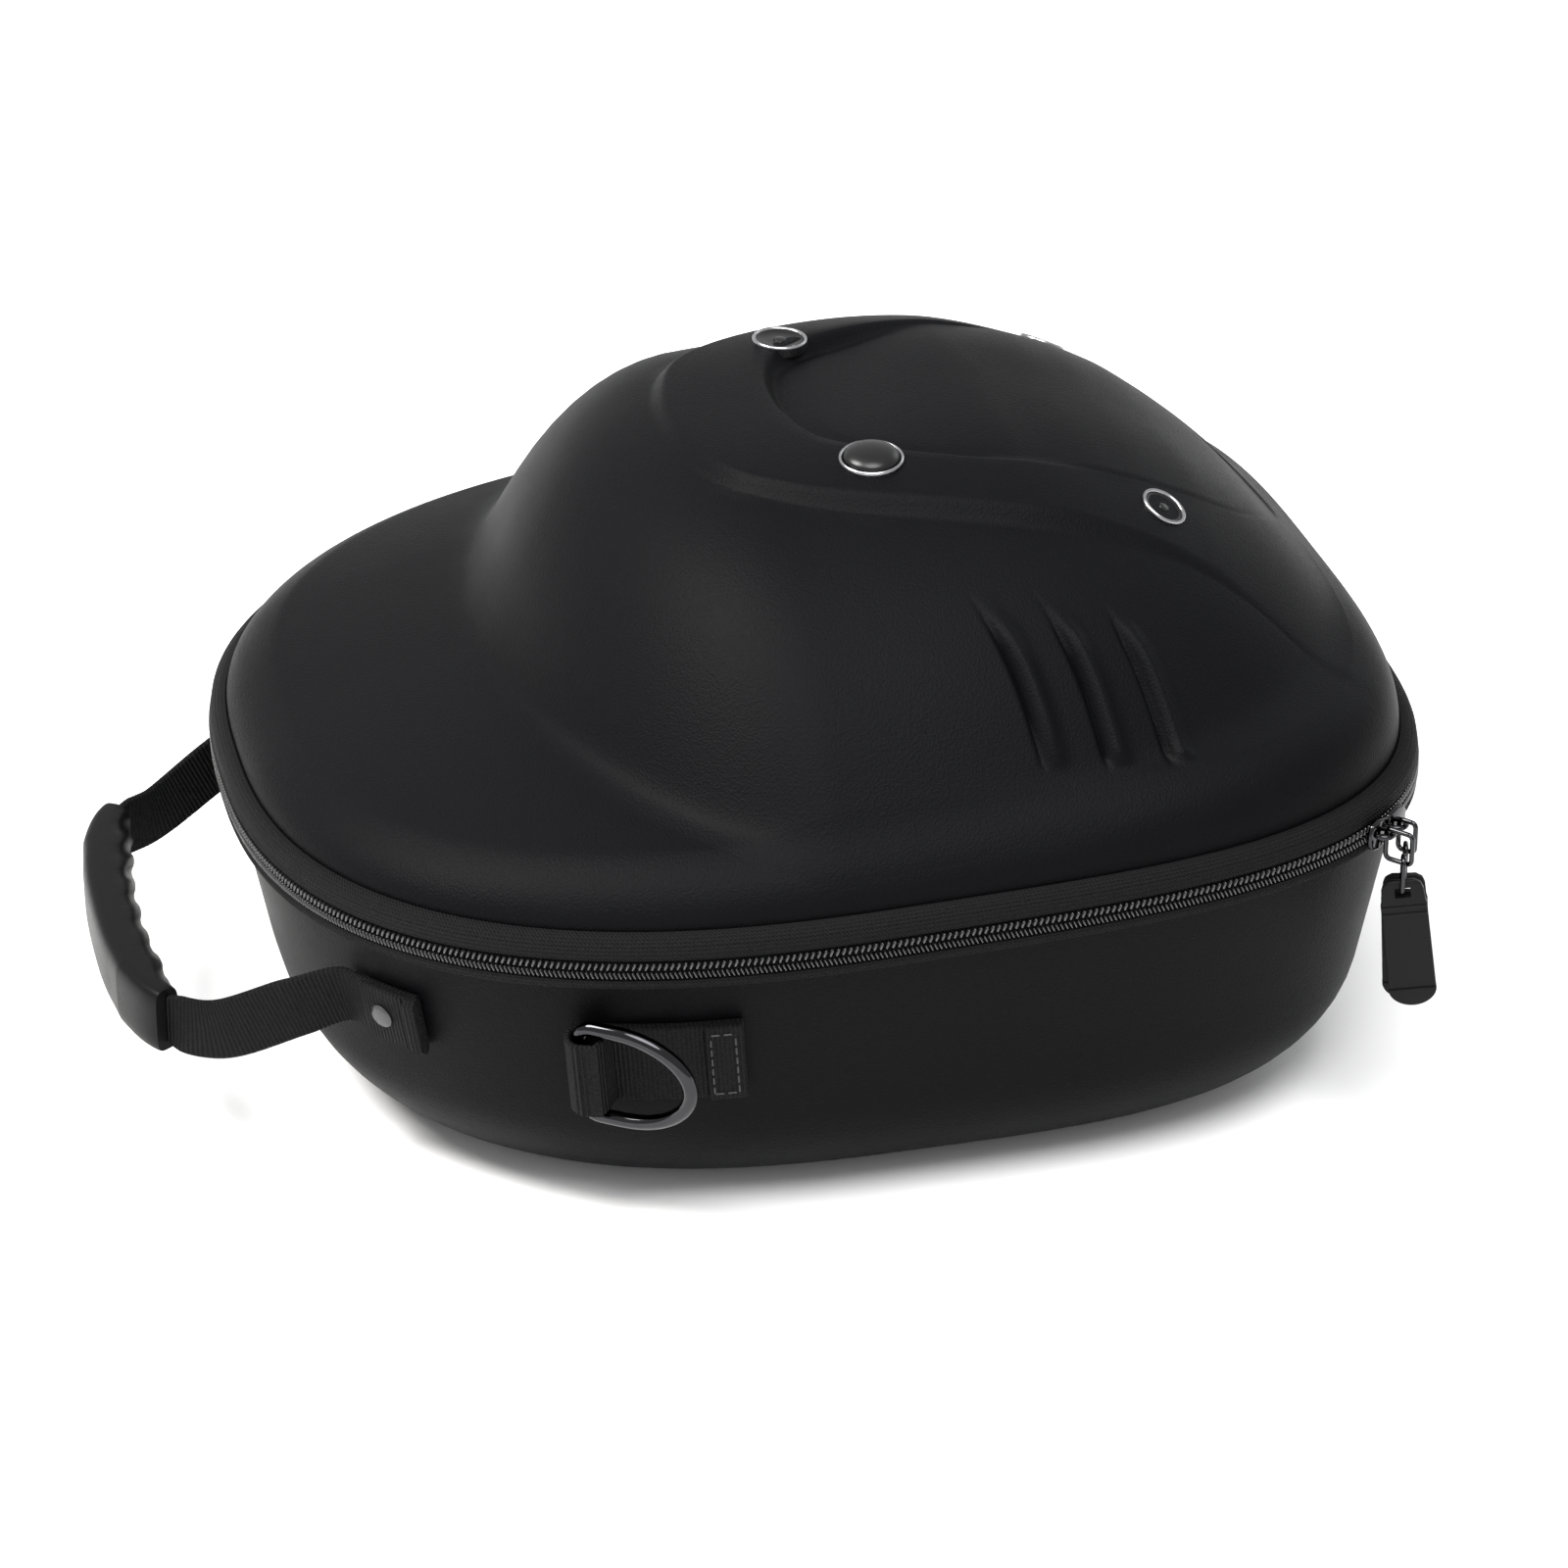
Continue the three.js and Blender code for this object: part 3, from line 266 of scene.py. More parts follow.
webbing_weave = woven("webbing_weave", (0.0052, 0.0052, 0.0055), rib_pitch=0.00125, yarn_pitch=0.0021,
                      yarn_share=0.0, slant=0.0, depth=0.00045, roughness=0.6)
tape_weave = woven("tape_weave", (0.006, 0.006, 0.0063), rib_pitch=0.0011, yarn_pitch=0.0011,
                   yarn_share=0.3, slant=1.0, depth=0.00034, roughness=0.7)
print("woven:", webbing_weave.name, tape_weave.name)

# %% [markdown]
# The hard parts are few: a nylon coil with a soft gloss, a moulded pull, black plated metal whose
# highlights are sharp, and the bright rims of the fittings. A fine speckle keeps each from looking
# like glass.

# %% Nylon, plastic and metal
def hard(name, colour, roughness, specular, wear, scale, metallic=0.0):
    paint = Paint(name, roughness, metallic, specular)
    place = paint.node("ShaderNodeTexCoord", out=3)
    speckle = paint.noise(place, scale, 3.0)
    paint.shade(colour, 0.85, 1.15, speckle)
    paint.set("Roughness", roughness - wear + 2 * wear * speckle)
    paint.bump(paint.noise(place, scale * 0.4), 0.00003)
    return paint.material


coil_nylon = hard("coil_nylon", (0.012, 0.012, 0.0125), 0.25, specular=0.7, wear=0.06, scale=700.0)
pull_plastic = hard("pull_plastic", (0.0042, 0.0042, 0.0045), 0.4, specular=0.09, wear=0.06, scale=500.0)
grip_cloth = hard("grip_cloth", (0.0032, 0.0032, 0.0035), 0.42, specular=0.06, wear=0.07, scale=900.0)
black_plate = hard("black_plate", (0.032, 0.032, 0.034), 0.1, 0.5, wear=0.04, scale=300.0, metallic=1.0)
bright_plate = hard("bright_plate", (0.3, 0.3, 0.31), 0.26, 0.5, wear=0.05, scale=300.0, metallic=1.0)
black_enamel = hard("black_enamel", (0.002, 0.002, 0.0022), 0.3, specular=0.3, wear=0.03, scale=300.0)
floor_paint = Paint("floor_paint", 0.9, specular=0.1)
floor_paint.shade((0.86, 0.86, 0.86), 0.99, 1.0,
                  floor_paint.noise(floor_paint.node("ShaderNodeTexCoord", out=3), 3.0))
floor.data.materials.append(floor_paint.material)
print("materials:", len(bpy.data.materials))

# %% [markdown]
# Every piece is finished in the same way: it is smoothed, rides on a body, hides the imported nodes
# it stands for, and gets its material.


def select_only(piece):
    bpy.ops.object.select_all(action="DESELECT")
    piece.select_set(True)
    bpy.context.view_layer.objects.active = piece


def finish_piece(piece, body, material, replaced=(), smooth=40.0):
    select_only(piece)
    bpy.ops.object.shade_smooth_by_angle(angle=math.radians(smooth))
    if not piece.data.materials:
        piece.data.materials.append(material)
    if body:
        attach(piece, body)
    if replaced:
        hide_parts(*replaced)
    return piece


def mesh_piece(name, points, faces, strip=None):
    """An object from points in millimetres, with an optional strip map in metres."""
    mesh = bpy.data.meshes.new(name)
    mesh.from_pydata((np.asarray(points, float) * mm).tolist(), [], faces)
    if strip is not None:
        layer = mesh.uv_layers.new(name="strip")
        layer.data.foreach_set("uv", np.asarray(strip, np.float32).ravel())
    mesh.update()
    piece = bpy.data.objects.new(name, mesh)
    bpy.context.scene.collection.objects.link(piece)
    return piece


def recalculate(piece, merge=1e-6):
    """Merges doubles and turns all faces outwards."""
    select_only(piece)
    bpy.ops.object.mode_set(mode="EDIT")
    bpy.ops.mesh.select_all(action="SELECT")
    bpy.ops.mesh.remove_doubles(threshold=merge)
    bpy.ops.mesh.normals_make_consistent(inside=False)
    bpy.ops.object.mode_set(mode="OBJECT")
    return piece


print("finishing helpers ready")

# %% [markdown]
# Long pieces are lofts: one section repeated along a path. Blender's own sweep is a curve with a
# bevel, but it can't change the section on the way, so the rings of points are joined here in code.

# %% Loft
def run_lengths(line):
    """Distance along a line from its start to each of its points."""
    return np.concatenate([[0], np.cumsum(np.linalg.norm(np.diff(line, axis=0), axis=1))])


def loft(name, rings, closed=False):
    """Rings of equal count, joined in order. The strip map runs along and round them in metres."""
    rings = np.asarray(rings, float)
    count, sides = rings.shape[:2]
    middle = rings.mean(axis=1)
    section = rings[count // 2]
    along = run_lengths(np.append(middle, middle[:1], axis=0)) * mm
    around = run_lengths(np.append(section, section[:1], axis=0)) * mm
    faces = []
    strip = []
    for k in range(count if closed else count - 1):
        following = (k + 1) % count
        for i in range(sides):
            beside = (i + 1) % sides
            faces.append((k * sides + i, k * sides + beside,
                          following * sides + beside, following * sides + i))
            strip += [(along[k], around[i]), (along[k], around[i + 1]),
                      (along[k + 1], around[i + 1]), (along[k + 1], around[i])]
    if not closed:
        last = (count - 1) * sides
        faces.append(tuple(range(sides - 1, -1, -1)))
        faces.append(tuple(range(last, last + sides)))
        strip += [(0.0, 0.0)] * (2 * sides)
    return recalculate(mesh_piece(name, rings.reshape(-1, 3), faces, strip))


print("loft ready")

# %% [markdown]
# The case's plan is a rounded oblong: a superellipse, blunter at the rear than at the brim. Its size
# is read from the box of the frame's lower tape, which lies a little inside the plan. The zip lies
# in a plane that rises towards the rear.

# %% The plan and the zip's plane
tape_low, tape_high = (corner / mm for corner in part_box("lower_tape"))
tape_set_in = 0.1
widest_shift = -1.0
front_reach = -tape_low.x + tape_set_in + widest_shift
rear_reach = tape_high.x + tape_set_in - widest_shift
half_width = tape_high.y + tape_set_in
half_length = (front_reach + rear_reach) / 2
widest_x = (front_reach - rear_reach) / 2
front_x = -half_length
front_length = half_length + widest_x
rear_length = half_length - widest_x
front_power = 2.5
rear_power = 3.5
parting_height = 90.0
parting_slope = 12.6 / 335
seam_rise = 9.5
seam_inset = 5.4
tray_inset = 3.0
wall_lean = 0.18
bottom_radius = 34.0
shell_wall = 3.0
gap = 0.3


def parting(x):
    return parting_height + parting_slope * x


def plan_points(angles, inset):
    """Points of the outline in these directions, moved in by an inset."""
    c, s = np.cos(angles), np.sin(angles)
    reach_along = np.where(c > 0, rear_length, front_length) - inset
    power = np.where(c > 0, rear_power, front_power)
    total = (np.abs(c) / reach_along) ** power + (np.abs(s) / (half_width - inset)) ** power
    reach = total ** (-1 / power)
    return np.stack([widest_x + reach * c, reach * s], axis=-1)


def zip_ring(angles, inset, rise):
    plan = plan_points(angles, inset)
    return np.column_stack([plan, parting(plan[:, 0]) + rise])


print("plan:", round(2 * half_length, 1), "x", round(2 * half_width, 1), "mm")
print("widest at x", round(widest_x, 2))

# %% [markdown]
# The lid's surface is a height over the plan. The brim is a flat top with a rounded edge, the crown
# is a dome that rises out of it, and a soft maximum of the two leaves the fillet at the crown's foot.

# %% Height of the brim and the crown
brim_edge_radius = 14.0
brim_edge_rise = 23.0
brim_lift = 5.3
brim_camber = 19.4
brim_edge_power = 2.4
crown_rise = 83.0
crown_top_lift = 9.3
crown_power = 2.97
crown_root = 1.11
foot_blend = 3.2
crown_centre = -0.113 * half_length
crown_front = 0.478 * half_length
crown_side = 0.946 * half_width
crown_front_power = 1.85
crown_rear_power = 2.87


def plan_share(x, y, centre, front, rear, side, front_power, rear_power):
    power = np.where(x > centre, rear_power, front_power)
    along = np.abs(x - centre) / np.where(x > centre, rear, front)
    return (along ** power + (np.abs(y) / side) ** power) ** (1 / power)


def inside_lid(x, y):
    share = plan_share(x, y, widest_x, front_length - seam_inset, rear_length - seam_inset,
                       half_width - seam_inset, front_power, rear_power)
    reach = np.hypot(x - widest_x, y)
    return share, np.maximum(0, (1 - share) * reach / np.maximum(share, 1e-6))


def brim_height(x, share, distance):
    edge = np.clip(distance / brim_edge_radius, 0, 1)
    rounded = (1 - (1 - edge) ** brim_edge_power) ** (1 / brim_edge_power)
    top = brim_edge_rise + brim_lift * (x - widest_x) / half_length - seam_rise
    return seam_rise + top * rounded + brim_camber * (1 - np.minimum(share, 1) ** 2)


def crown_height(x, y):
    share = plan_share(x, y, crown_centre, crown_front, half_length - seam_inset - crown_centre,
                       crown_side, crown_front_power, crown_rear_power)
    swell = 1 + crown_top_lift / crown_rise * (x - crown_centre) / half_length
    return seam_rise + crown_rise * swell * np.maximum(0, 1 - share ** crown_power) ** (1 / crown_root)


print("crown top about", round(float(parting(40) + crown_height(np.array(40.0), np.array(0.0)))), "mm high")

# %% [markdown]
# A raised band runs round the front of the crown's top panel and down both sides to the rear. Its
# outer and inner edges are drawn as smooth closed lines through a few points, given as shares of the
# half length and half width, and mirrored to the other side.

# %% Outlines of the band and the panel
band_edge = [
    (-0.221, 0), (-0.203, 0.16), (-0.161, 0.273), (-0.096, 0.34), (-0.012, 0.393), (0.113, 0.44),
    (0.287, 0.48), (0.448, 0.5), (0.585, 0.52), (0.68, 0.547), (0.764, 0.587), (0.83, 0.647),
    (1.05, 0.75), (1.05, 0),
]
panel_edge = [
    (-0.027, 0), (-0.02, 0.09), (0.005, 0.18), (0.042, 0.225), (0.15, 0.29), (0.275, 0.333),
    (0.436, 0.347), (0.531, 0.347), (0.639, 0.325), (0.72, 0.275), (0.8, 0.16), (0.855, 0),
]


def curve_span(corners, count):
    """A centripetal curve's points between the second and the third of four corners."""
    gaps = [np.linalg.norm(b - a) ** 0.5 for a, b in zip(corners, corners[1:])]
    t = np.concatenate([[0], np.cumsum(gaps)])

    def mixed(a, b, low, high, s):
        return a * (high - s) / (high - low) + b * (s - low) / (high - low)

    span = []
    for s in np.linspace(t[1], t[2], count, endpoint=False):
        a = [mixed(corners[j], corners[j + 1], t[j], t[j + 1], s) for j in range(3)]
        b = [mixed(a[j], a[j + 1], t[j], t[j + 2], s) for j in range(2)]
        span.append(mixed(b[0], b[1], t[1], t[2], s))
    return span


def smooth_loop(points, per_span=10):
    """A closed centripetal curve through the points."""
    points = np.asarray(points, float)
    count = len(points)
    curve = []
    for k in range(count):
        curve += curve_span([points[(k + j) % count] for j in (-1, 0, 1, 2)], per_span)
    return np.array(curve)


def mirrored_outline(rows):
    side = [(x * half_length, y * half_width) for x, y in rows]
    other = [(x, -y) for x, y in side[-2:0:-1]]
    return smooth_loop(side + other)


def inside_distance(outline, x, y):
    """Distance from a closed outline, positive inside it."""
    shape = np.shape(x)
    x, y = np.ravel(x), np.ravel(y)
    nearest = np.full(len(x), np.inf)
    inside = np.zeros(len(x), bool)
    for (ax, ay), (bx, by) in zip(outline, np.roll(outline, -1, axis=0)):
        length = (bx - ax) ** 2 + (by - ay) ** 2
        share = np.clip(((x - ax) * (bx - ax) + (y - ay) * (by - ay)) / length, 0, 1)
        nearest = np.minimum(nearest, np.hypot(x - ax - share * (bx - ax), y - ay - share * (by - ay)))
        if ay != by:
            crossing = ((ay > y) != (by > y)) & (x < ax + (y - ay) / (by - ay) * (bx - ax))
            inside ^= crossing
    return np.where(inside, nearest, -nearest).reshape(shape)


band_outline = mirrored_outline(band_edge)
panel_outline = mirrored_outline(panel_edge)
print("outline points:", len(band_outline), len(panel_outline))

# %% [markdown]
# The band stands proud in front and fades to a fine line at the rear corners. The panel inside it
# lies lower at the front, behind a soft groove. Further back a sharp crease parts the two, and it is
# deeper on the far arm. The two tables hold shares of the heights at shares of the half length.

# %% Relief of the band and the panel
band_height = 3.5
panel_dip = 4.4
panel_groove = 1.3
panel_groove_width = 3.2
band_shoulder = 5.5
panel_shoulder = 5.0
band_fade = np.array([(-1, 1), (0.3, 1), (0.5, 0.5), (0.6, 0.3), (0.68, 0.12), (0.85, 0.05), (1, 0)])
panel_step = np.array([(-1, -1), (0.13, -1), (0.33, -0.28), (0.47, 0.1), (0.62, 0.14), (0.75, 0),
                       (0.86, -0.25), (1, 0)])
crease_depth = 0.5
crease_width = 0.9
crease_from, crease_full = 0.12, 0.32
near_crease_share = 0.4
edge_line_from, edge_line_full = 0.35, 0.6
groove_until, groove_gone = 0.05, 0.35


def smooth_step(share):
    t = np.clip(share, 0, 1)
    return t * t * (3 - 2 * t)


def table_value(rows, at):
    """Value of a table at a place, with soft changes between its rows."""
    at = np.clip(at, rows[0, 0], rows[-1, 0] - 1e-9)
    k = np.searchsorted(rows[:, 0], at, side="right") - 1
    share = (at - rows[k, 0]) / (rows[k + 1, 0] - rows[k, 0])
    return rows[k, 1] + (rows[k + 1, 1] - rows[k, 1]) * smooth_step(share)


def relief(x, y):
    along = x / half_length
    to_band = inside_distance(band_outline, x, y)
    to_panel = inside_distance(panel_outline, x, y)
    height = band_height * table_value(band_fade, along) * smooth_step(0.5 + to_band / band_shoulder)
    height += panel_dip * table_value(panel_step, along) * smooth_step(0.5 + to_panel / panel_shoulder)
    rear = smooth_step((along - edge_line_from) / (edge_line_full - edge_line_from))
    rear = rear * (1 - smooth_step((along - 0.9) / 0.1))
    height -= 0.4 * crease_depth * rear * np.exp(-((to_band + 1.2) / crease_width) ** 2)
    depth = crease_depth * (near_crease_share + (1 - near_crease_share) * smooth_step((y + 20) / 40))
    creased = smooth_step((along - crease_from) / (crease_full - crease_from))
    height -= depth * creased * np.exp(-(to_panel / crease_width) ** 2)
    front = 1 - smooth_step((along - groove_until) / (groove_gone - groove_until))
    return height - panel_groove * front * np.exp(-((to_panel - 1.5) / panel_groove_width) ** 2)


def lid_rise(x, y):
    share, distance = inside_lid(x, y)
    brim = brim_height(x, share, distance)
    crown = crown_height(x, y)
    edge = np.clip(distance / brim_edge_radius, 0, 1)
    joined = (brim + crown + np.hypot(brim - crown, 2 * foot_blend)) / 2 - foot_blend * (1 - edge)
    return joined + relief(x, y) * edge


def lid_points(x, y):
    return np.stack([x, y, parting(x) + lid_rise(x, y)], axis=-1)


def lid_normals(x, y, step=1.0):
    along = lid_points(x + step, y) - lid_points(x - step, y)
    aside = lid_points(x, y + step) - lid_points(x, y - step)
    normals = np.cross(along, aside)
    return normals / np.linalg.norm(normals, axis=-1, keepdims=True)


print("relief at the band:", round(float(relief(np.array([0.0]), np.array([-50.0]))[0]), 2), "mm")

# %% [markdown]
# On each flank three short ribs are pressed into the foam: a rounded ridge with a sharp groove along
# its front. They are raised along the surface's normal, so they keep their shape on the steep flank.

# %% Ribs on the flanks
rib_count = 3
rib_pitch = 18.0
rib_line = np.array([(0.188, 0.64), (0.208, 0.69), (0.224, 0.735), (0.236, 0.785), (0.245, 0.835)])
rib_height = 2.2
rib_half_width = 2.7
rib_crest_at = 0.7
rib_groove = 1.9
rib_groove_width = 0.9
rib_groove_at = -3.0
rib_upper_fade = 4.5
rib_lower_fade = 3.5


def rib_height_at(x, y):
    xs = rib_line[:, 0] * half_length
    ys = rib_line[:, 1] * half_width
    aside = np.abs(y)
    centre = np.interp(aside, ys, xs)
    upper_end = smooth_step((aside - ys[0] - 2) / rib_upper_fade)
    ends = upper_end * smooth_step((ys[-1] + 2.5 - aside) / rib_lower_fade)
    height = np.zeros(np.shape(x))
    for k in range(rib_count):
        across = x - centre - k * rib_pitch
        height += rib_height * np.exp(-((across - rib_crest_at) / rib_half_width) ** 2) * ends
        height -= rib_groove * np.exp(-((across - rib_groove_at) / rib_groove_width) ** 2) * ends
    return height


print("ribs:", rib_count, "on each flank")

# %% [markdown]
# The lid's mesh is a fan of rays from a point of the top panel. Its rings follow the panel's edge,
# the band's edge, the crown's foot and the brim's edge, so no edge of the relief is cut into steps.
# The rays are closer together where the ribs are.

# %% Rays and rings of the lid
fan_x = 0.36 * half_length
rib_sector = (55.0, 85.0)
fine_rays = 92
plain_rays = 108
ring_counts = (12, 10, 7, 10, 12, 14, 8, 16)
shoulder_share = 0.6
before_foot = 5.0
behind_foot = 8.0
edge_reach = 1.15 * brim_edge_radius
edge_crowding = 2.2


def ray_angles():
    low, high = rib_sector
    rear = np.linspace(-low, low, plain_rays, endpoint=False)
    far = np.linspace(low, high, fine_rays, endpoint=False)
    front = np.linspace(high, 360 - high, 2 * plain_rays, endpoint=False)
    near = np.linspace(360 - high, 360 - low, fine_rays, endpoint=False)
    return np.radians(np.concatenate([rear, far, front, near]))


def last_inside(mask, steps, fallback, most):
    """Share of each ray at which a mask is left for the last time."""
    reversed_first = np.argmax(mask[:, ::-1], axis=1)
    share = steps[mask.shape[1] - 1 - reversed_first]
    return np.minimum(np.where(mask.any(axis=1), share, fallback), most)


def smooth_round(keys):
    """Evens each ring out over neighbouring rays, so that the mesh has no kinks."""
    for _ in range(6):
        keys = (np.roll(keys, 1, axis=1) + 2 * keys + np.roll(keys, -1, axis=1)) / 4
    return keys


def ray_shares(lip):
    """Where each ring crosses the rays, as shares of a ray: the keys, and even steps between them."""
    reach = np.hypot(lip[:, 0] - fan_x, lip[:, 1])
    steps = np.linspace(0, 1, 201)[1:-1]
    x = fan_x + (lip[:, :1] - fan_x) * steps
    y = lip[:, 1:] * steps
    panel = last_inside(inside_distance(panel_outline, x, y) > 0, steps, 0.3, 0.74)
    band = last_inside(inside_distance(band_outline, x, y) > 0, steps, 0.5, 0.84)
    share, distance = inside_lid(x, y)
    foot = last_inside(crown_height(x, y) > brim_height(x, share, distance), steps, 0.9, 0.92)
    panel_half = shoulder_share * panel_shoulder / reach
    band_half = shoulder_share * band_shoulder / reach
    keys = np.array([np.full(len(reach), 0.02), panel - panel_half, panel + panel_half,
                     band - band_half, band + band_half, foot - before_foot / reach,
                     foot + behind_foot / reach, 1 - edge_reach / reach, np.ones(len(reach))])
    for k in range(1, len(keys)):
        keys[k] = np.maximum(keys[k], keys[k - 1] + 3 / reach)
    limit = np.ones(len(reach))
    for k in range(len(keys) - 1, -1, -1):
        keys[k] = np.minimum(keys[k], limit)
        limit = keys[k] - 2 / reach
    keys = smooth_round(keys)
    rows = []
    for k, count in enumerate(ring_counts):
        t = np.linspace(0, 1, count, endpoint=False)
        if k == len(ring_counts) - 1:
            t = 1 - (1 - t) ** edge_crowding
        rows += [keys[k] + (keys[k + 1] - keys[k]) * s for s in t]
    rows.append(keys[-1])
    return np.array(rows)


print("rings between the lid's key lines:", ring_counts)

# %% [markdown]
# On the flanks the rays lean over to follow the ribs, and the lean fades out all round them. Each of
# the four pairs of lengths says where it begins and over what distance it grows. The points are then
# lifted onto the surface, and three rings lead down to the zip.

# %% Mesh of the lid
lean_upper = (-34.0, 30.0)
lean_lower = (20.0, 18.0)
lean_front = (-46.0, 74.0)
lean_rear = (112.0, 34.0)


def lean_rays(x, y):
    """The fan's points, moved towards the rear or the front so that the rays run along the ribs."""
    aside = np.maximum(np.abs(y), 1.0)
    ys = rib_line[:, 1] * half_width
    curve = np.polyfit(ys, rib_line[:, 0] * half_length, 2)
    middle = float(ys.mean())
    lane = fan_x + (x - fan_x) * middle / aside
    bend = np.polyval(curve, np.clip(aside, ys[0] - 12, ys[-1] + 12)) - np.polyval(curve, middle)
    weight = smooth_step((aside - ys[0] - lean_upper[0]) / lean_upper[1])
    weight = weight * smooth_step((ys[-1] + lean_lower[0] - aside) / lean_lower[1])
    weight = weight * smooth_step((lane - lean_front[0]) / lean_front[1])
    weight = weight * smooth_step((lean_rear[0] - lane) / lean_rear[1])
    return x + (lane + bend - x) * weight


def ring_faces(count, sides):
    """Four-cornered faces between each ring and the next."""
    return [(k * sides + i, k * sides + (i + 1) % sides,
             (k + 1) * sides + (i + 1) % sides, (k + 1) * sides + i)
            for k in range(count - 1) for i in range(sides)]


def make_lid():
    angles = ray_angles()
    lip = plan_points(angles, seam_inset)
    shares = ray_shares(lip)
    x = fan_x + (lip[:, 0] - fan_x) * shares
    y = lip[:, 1] * shares
    x = lean_rays(x, y)
    points = lid_points(x, y)
    points += lid_normals(x, y) * rib_height_at(x, y)[..., None]
    skirt = [zip_ring(angles, seam_inset, rise) for rise in (6.0, 3.0, gap)]
    rings = np.concatenate([points, skirt])
    centre = lid_points(np.array([fan_x]), np.array([0.0]))
    count, sides = rings.shape[:2]
    faces = [(a, d, c, b) for a, b, c, d in ring_faces(count, sides)]
    faces += [(count * sides, i, (i + 1) % sides) for i in range(sides)]
    return mesh_piece("lid_skin", np.concatenate([rings.reshape(-1, 3), centre]), faces)


lid_skin = make_lid()
print("lid faces:", len(lid_skin.data.polygons))

# %% [markdown]
# The sheet gets its 3 mm wall from a Solidify modifier, which also gives the inside its own
# material: a plain lining. The faces are turned outwards first, while the sheet is still open.

# %% Walls for the shells
def give_wall(piece, outside, inside):
    recalculate(piece)
    piece.data.materials.append(outside)
    piece.data.materials.append(inside)
    wall = piece.modifiers.new("wall", "SOLIDIFY")
    wall.thickness = shell_wall * mm
    wall.offset = -1
    wall.material_offset = 1
    wall.material_offset_rim = 0
    select_only(piece)
    bpy.ops.object.modifier_apply(modifier=wall.name)


give_wall(lid_skin, shell_cloth, lining_cloth)
finish_piece(lid_skin, "lid", shell_cloth, ["lid_shell"], smooth=60)
print("lid with its wall:", len(lid_skin.data.polygons), "faces")

# %% [markdown]
# The tray is a bowl: a flat underside, a generous round, and a wall that leans out to the zip.

# %% Tray
tray_rays = 240
tray_round_steps = 12
tray_wall_steps = 8
floor_rings = (0.12, 0.3, 0.5, 0.7, 0.88)


def tray_inset_at(z):
    under = bottom_radius - np.minimum(z, bottom_radius)
    rounding = bottom_radius - np.sqrt(bottom_radius ** 2 - under ** 2)
    return tray_inset + wall_lean * (parting_height - z) + rounding


def tray_ring(angles, z, inset):
    plan = plan_points(angles, inset)
    return np.column_stack([plan, z * parting(plan[:, 0]) / parting_height])


def make_tray():
    angles = np.linspace(0, 2 * math.pi, tray_rays, endpoint=False)
    rings = []
    flat_inset = float(tray_inset_at(0.0))
    for share in floor_rings:
        ring = tray_ring(angles, 0.0, flat_inset)
        ring[:, 0] = widest_x + (ring[:, 0] - widest_x) * share
        ring[:, 1] *= share
        rings.append(ring)
    for k in range(tray_round_steps + 1):
        z = bottom_radius * (1 - math.cos(math.pi / 2 * k / tray_round_steps))
        rings.append(tray_ring(angles, z, float(tray_inset_at(z))))
    for z in np.linspace(bottom_radius, parting_height - gap, tray_wall_steps + 1)[1:]:
        rings.append(tray_ring(angles, z, float(tray_inset_at(z))))
    rings = np.array(rings)
    count, sides = rings.shape[:2]
    faces = ring_faces(count, sides) + [(count * sides, (i + 1) % sides, i) for i in range(sides)]
    return mesh_piece("tray_skin", np.concatenate([rings.reshape(-1, 3), [[widest_x, 0, 0]]]), faces)


tray_skin = make_tray()
give_wall(tray_skin, shell_cloth, lining_cloth)
finish_piece(tray_skin, "base", shell_cloth, ["base_shell"], smooth=60)
print("tray with its wall:", len(tray_skin.data.polygons), "faces")

# %% [markdown]
# Each half of the zip is a woven tape with a rounded outer face, sewn along the edge of its shell.
# The section is a short table of insets and rises, swept round the plan.

# %% Zip tapes
zip_rays = 360
coil_height = 2.3
lower_tape_height = 3.1
upper_low = gap / 2 + coil_height + gap
lower_high = -upper_low
lower_low = lower_high - lower_tape_height
upper_section = [
    (5.1, upper_low), (0.9, upper_low), (0.3, upper_low + 0.4), (0.25, upper_low + 1.2), (0.7, 6.6),
    (1.7, 7.9), (3.1, 8.9), (4.3, 9.3), (5.1, 9.2),
]
lower_section = [
    (2.7, lower_low), (1.3, lower_low), (0.6, lower_low + 0.4), (0.15, lower_high - 1.9),
    (0.15, lower_high - 0.9), (0.4, lower_high - 0.25), (1.0, lower_high), (2.7, lower_high),
]


def swept(name, section, low, high, count):
    closed = high - low >= 360
    angles = np.radians(np.linspace(low, high, count, endpoint=not closed))
    rings = np.stack([zip_ring(angles, inset, rise) for inset, rise in section], axis=1)
    return loft(name, rings, closed=closed)


upper_tape = swept("zip_tape_upper", upper_section, 0, 360, zip_rays)
finish_piece(upper_tape, "lid", tape_weave, ["upper_tape"])
lower_tape = swept("zip_tape_lower", lower_section, 0, 360, zip_rays)
finish_piece(lower_tape, "base", tape_weave, ["lower_tape"])
print("tapes:", len(upper_tape.data.polygons) + len(lower_tape.data.polygons), "faces")

# %% [markdown]
# A row of teeth is one nylon monofilament wound into a coil. Seen from outside it is a row of short
# slanting bars. One bar is modelled and copied along the row. The lower row's bars are thinner and
# closer together.

# %% Coil of the zip
tooth_pitch = {1: 1.7, -1: 1.25}
tooth_width = {1: 0.62, -1: 0.46}
hinge_half = 30.0
coil_from = 90 + hinge_half
coil_to = 450 - hinge_half
coil_inset = 0.55
tooth_slant = 0.42
tooth_depth = 0.75
tooth_fill = 0.86


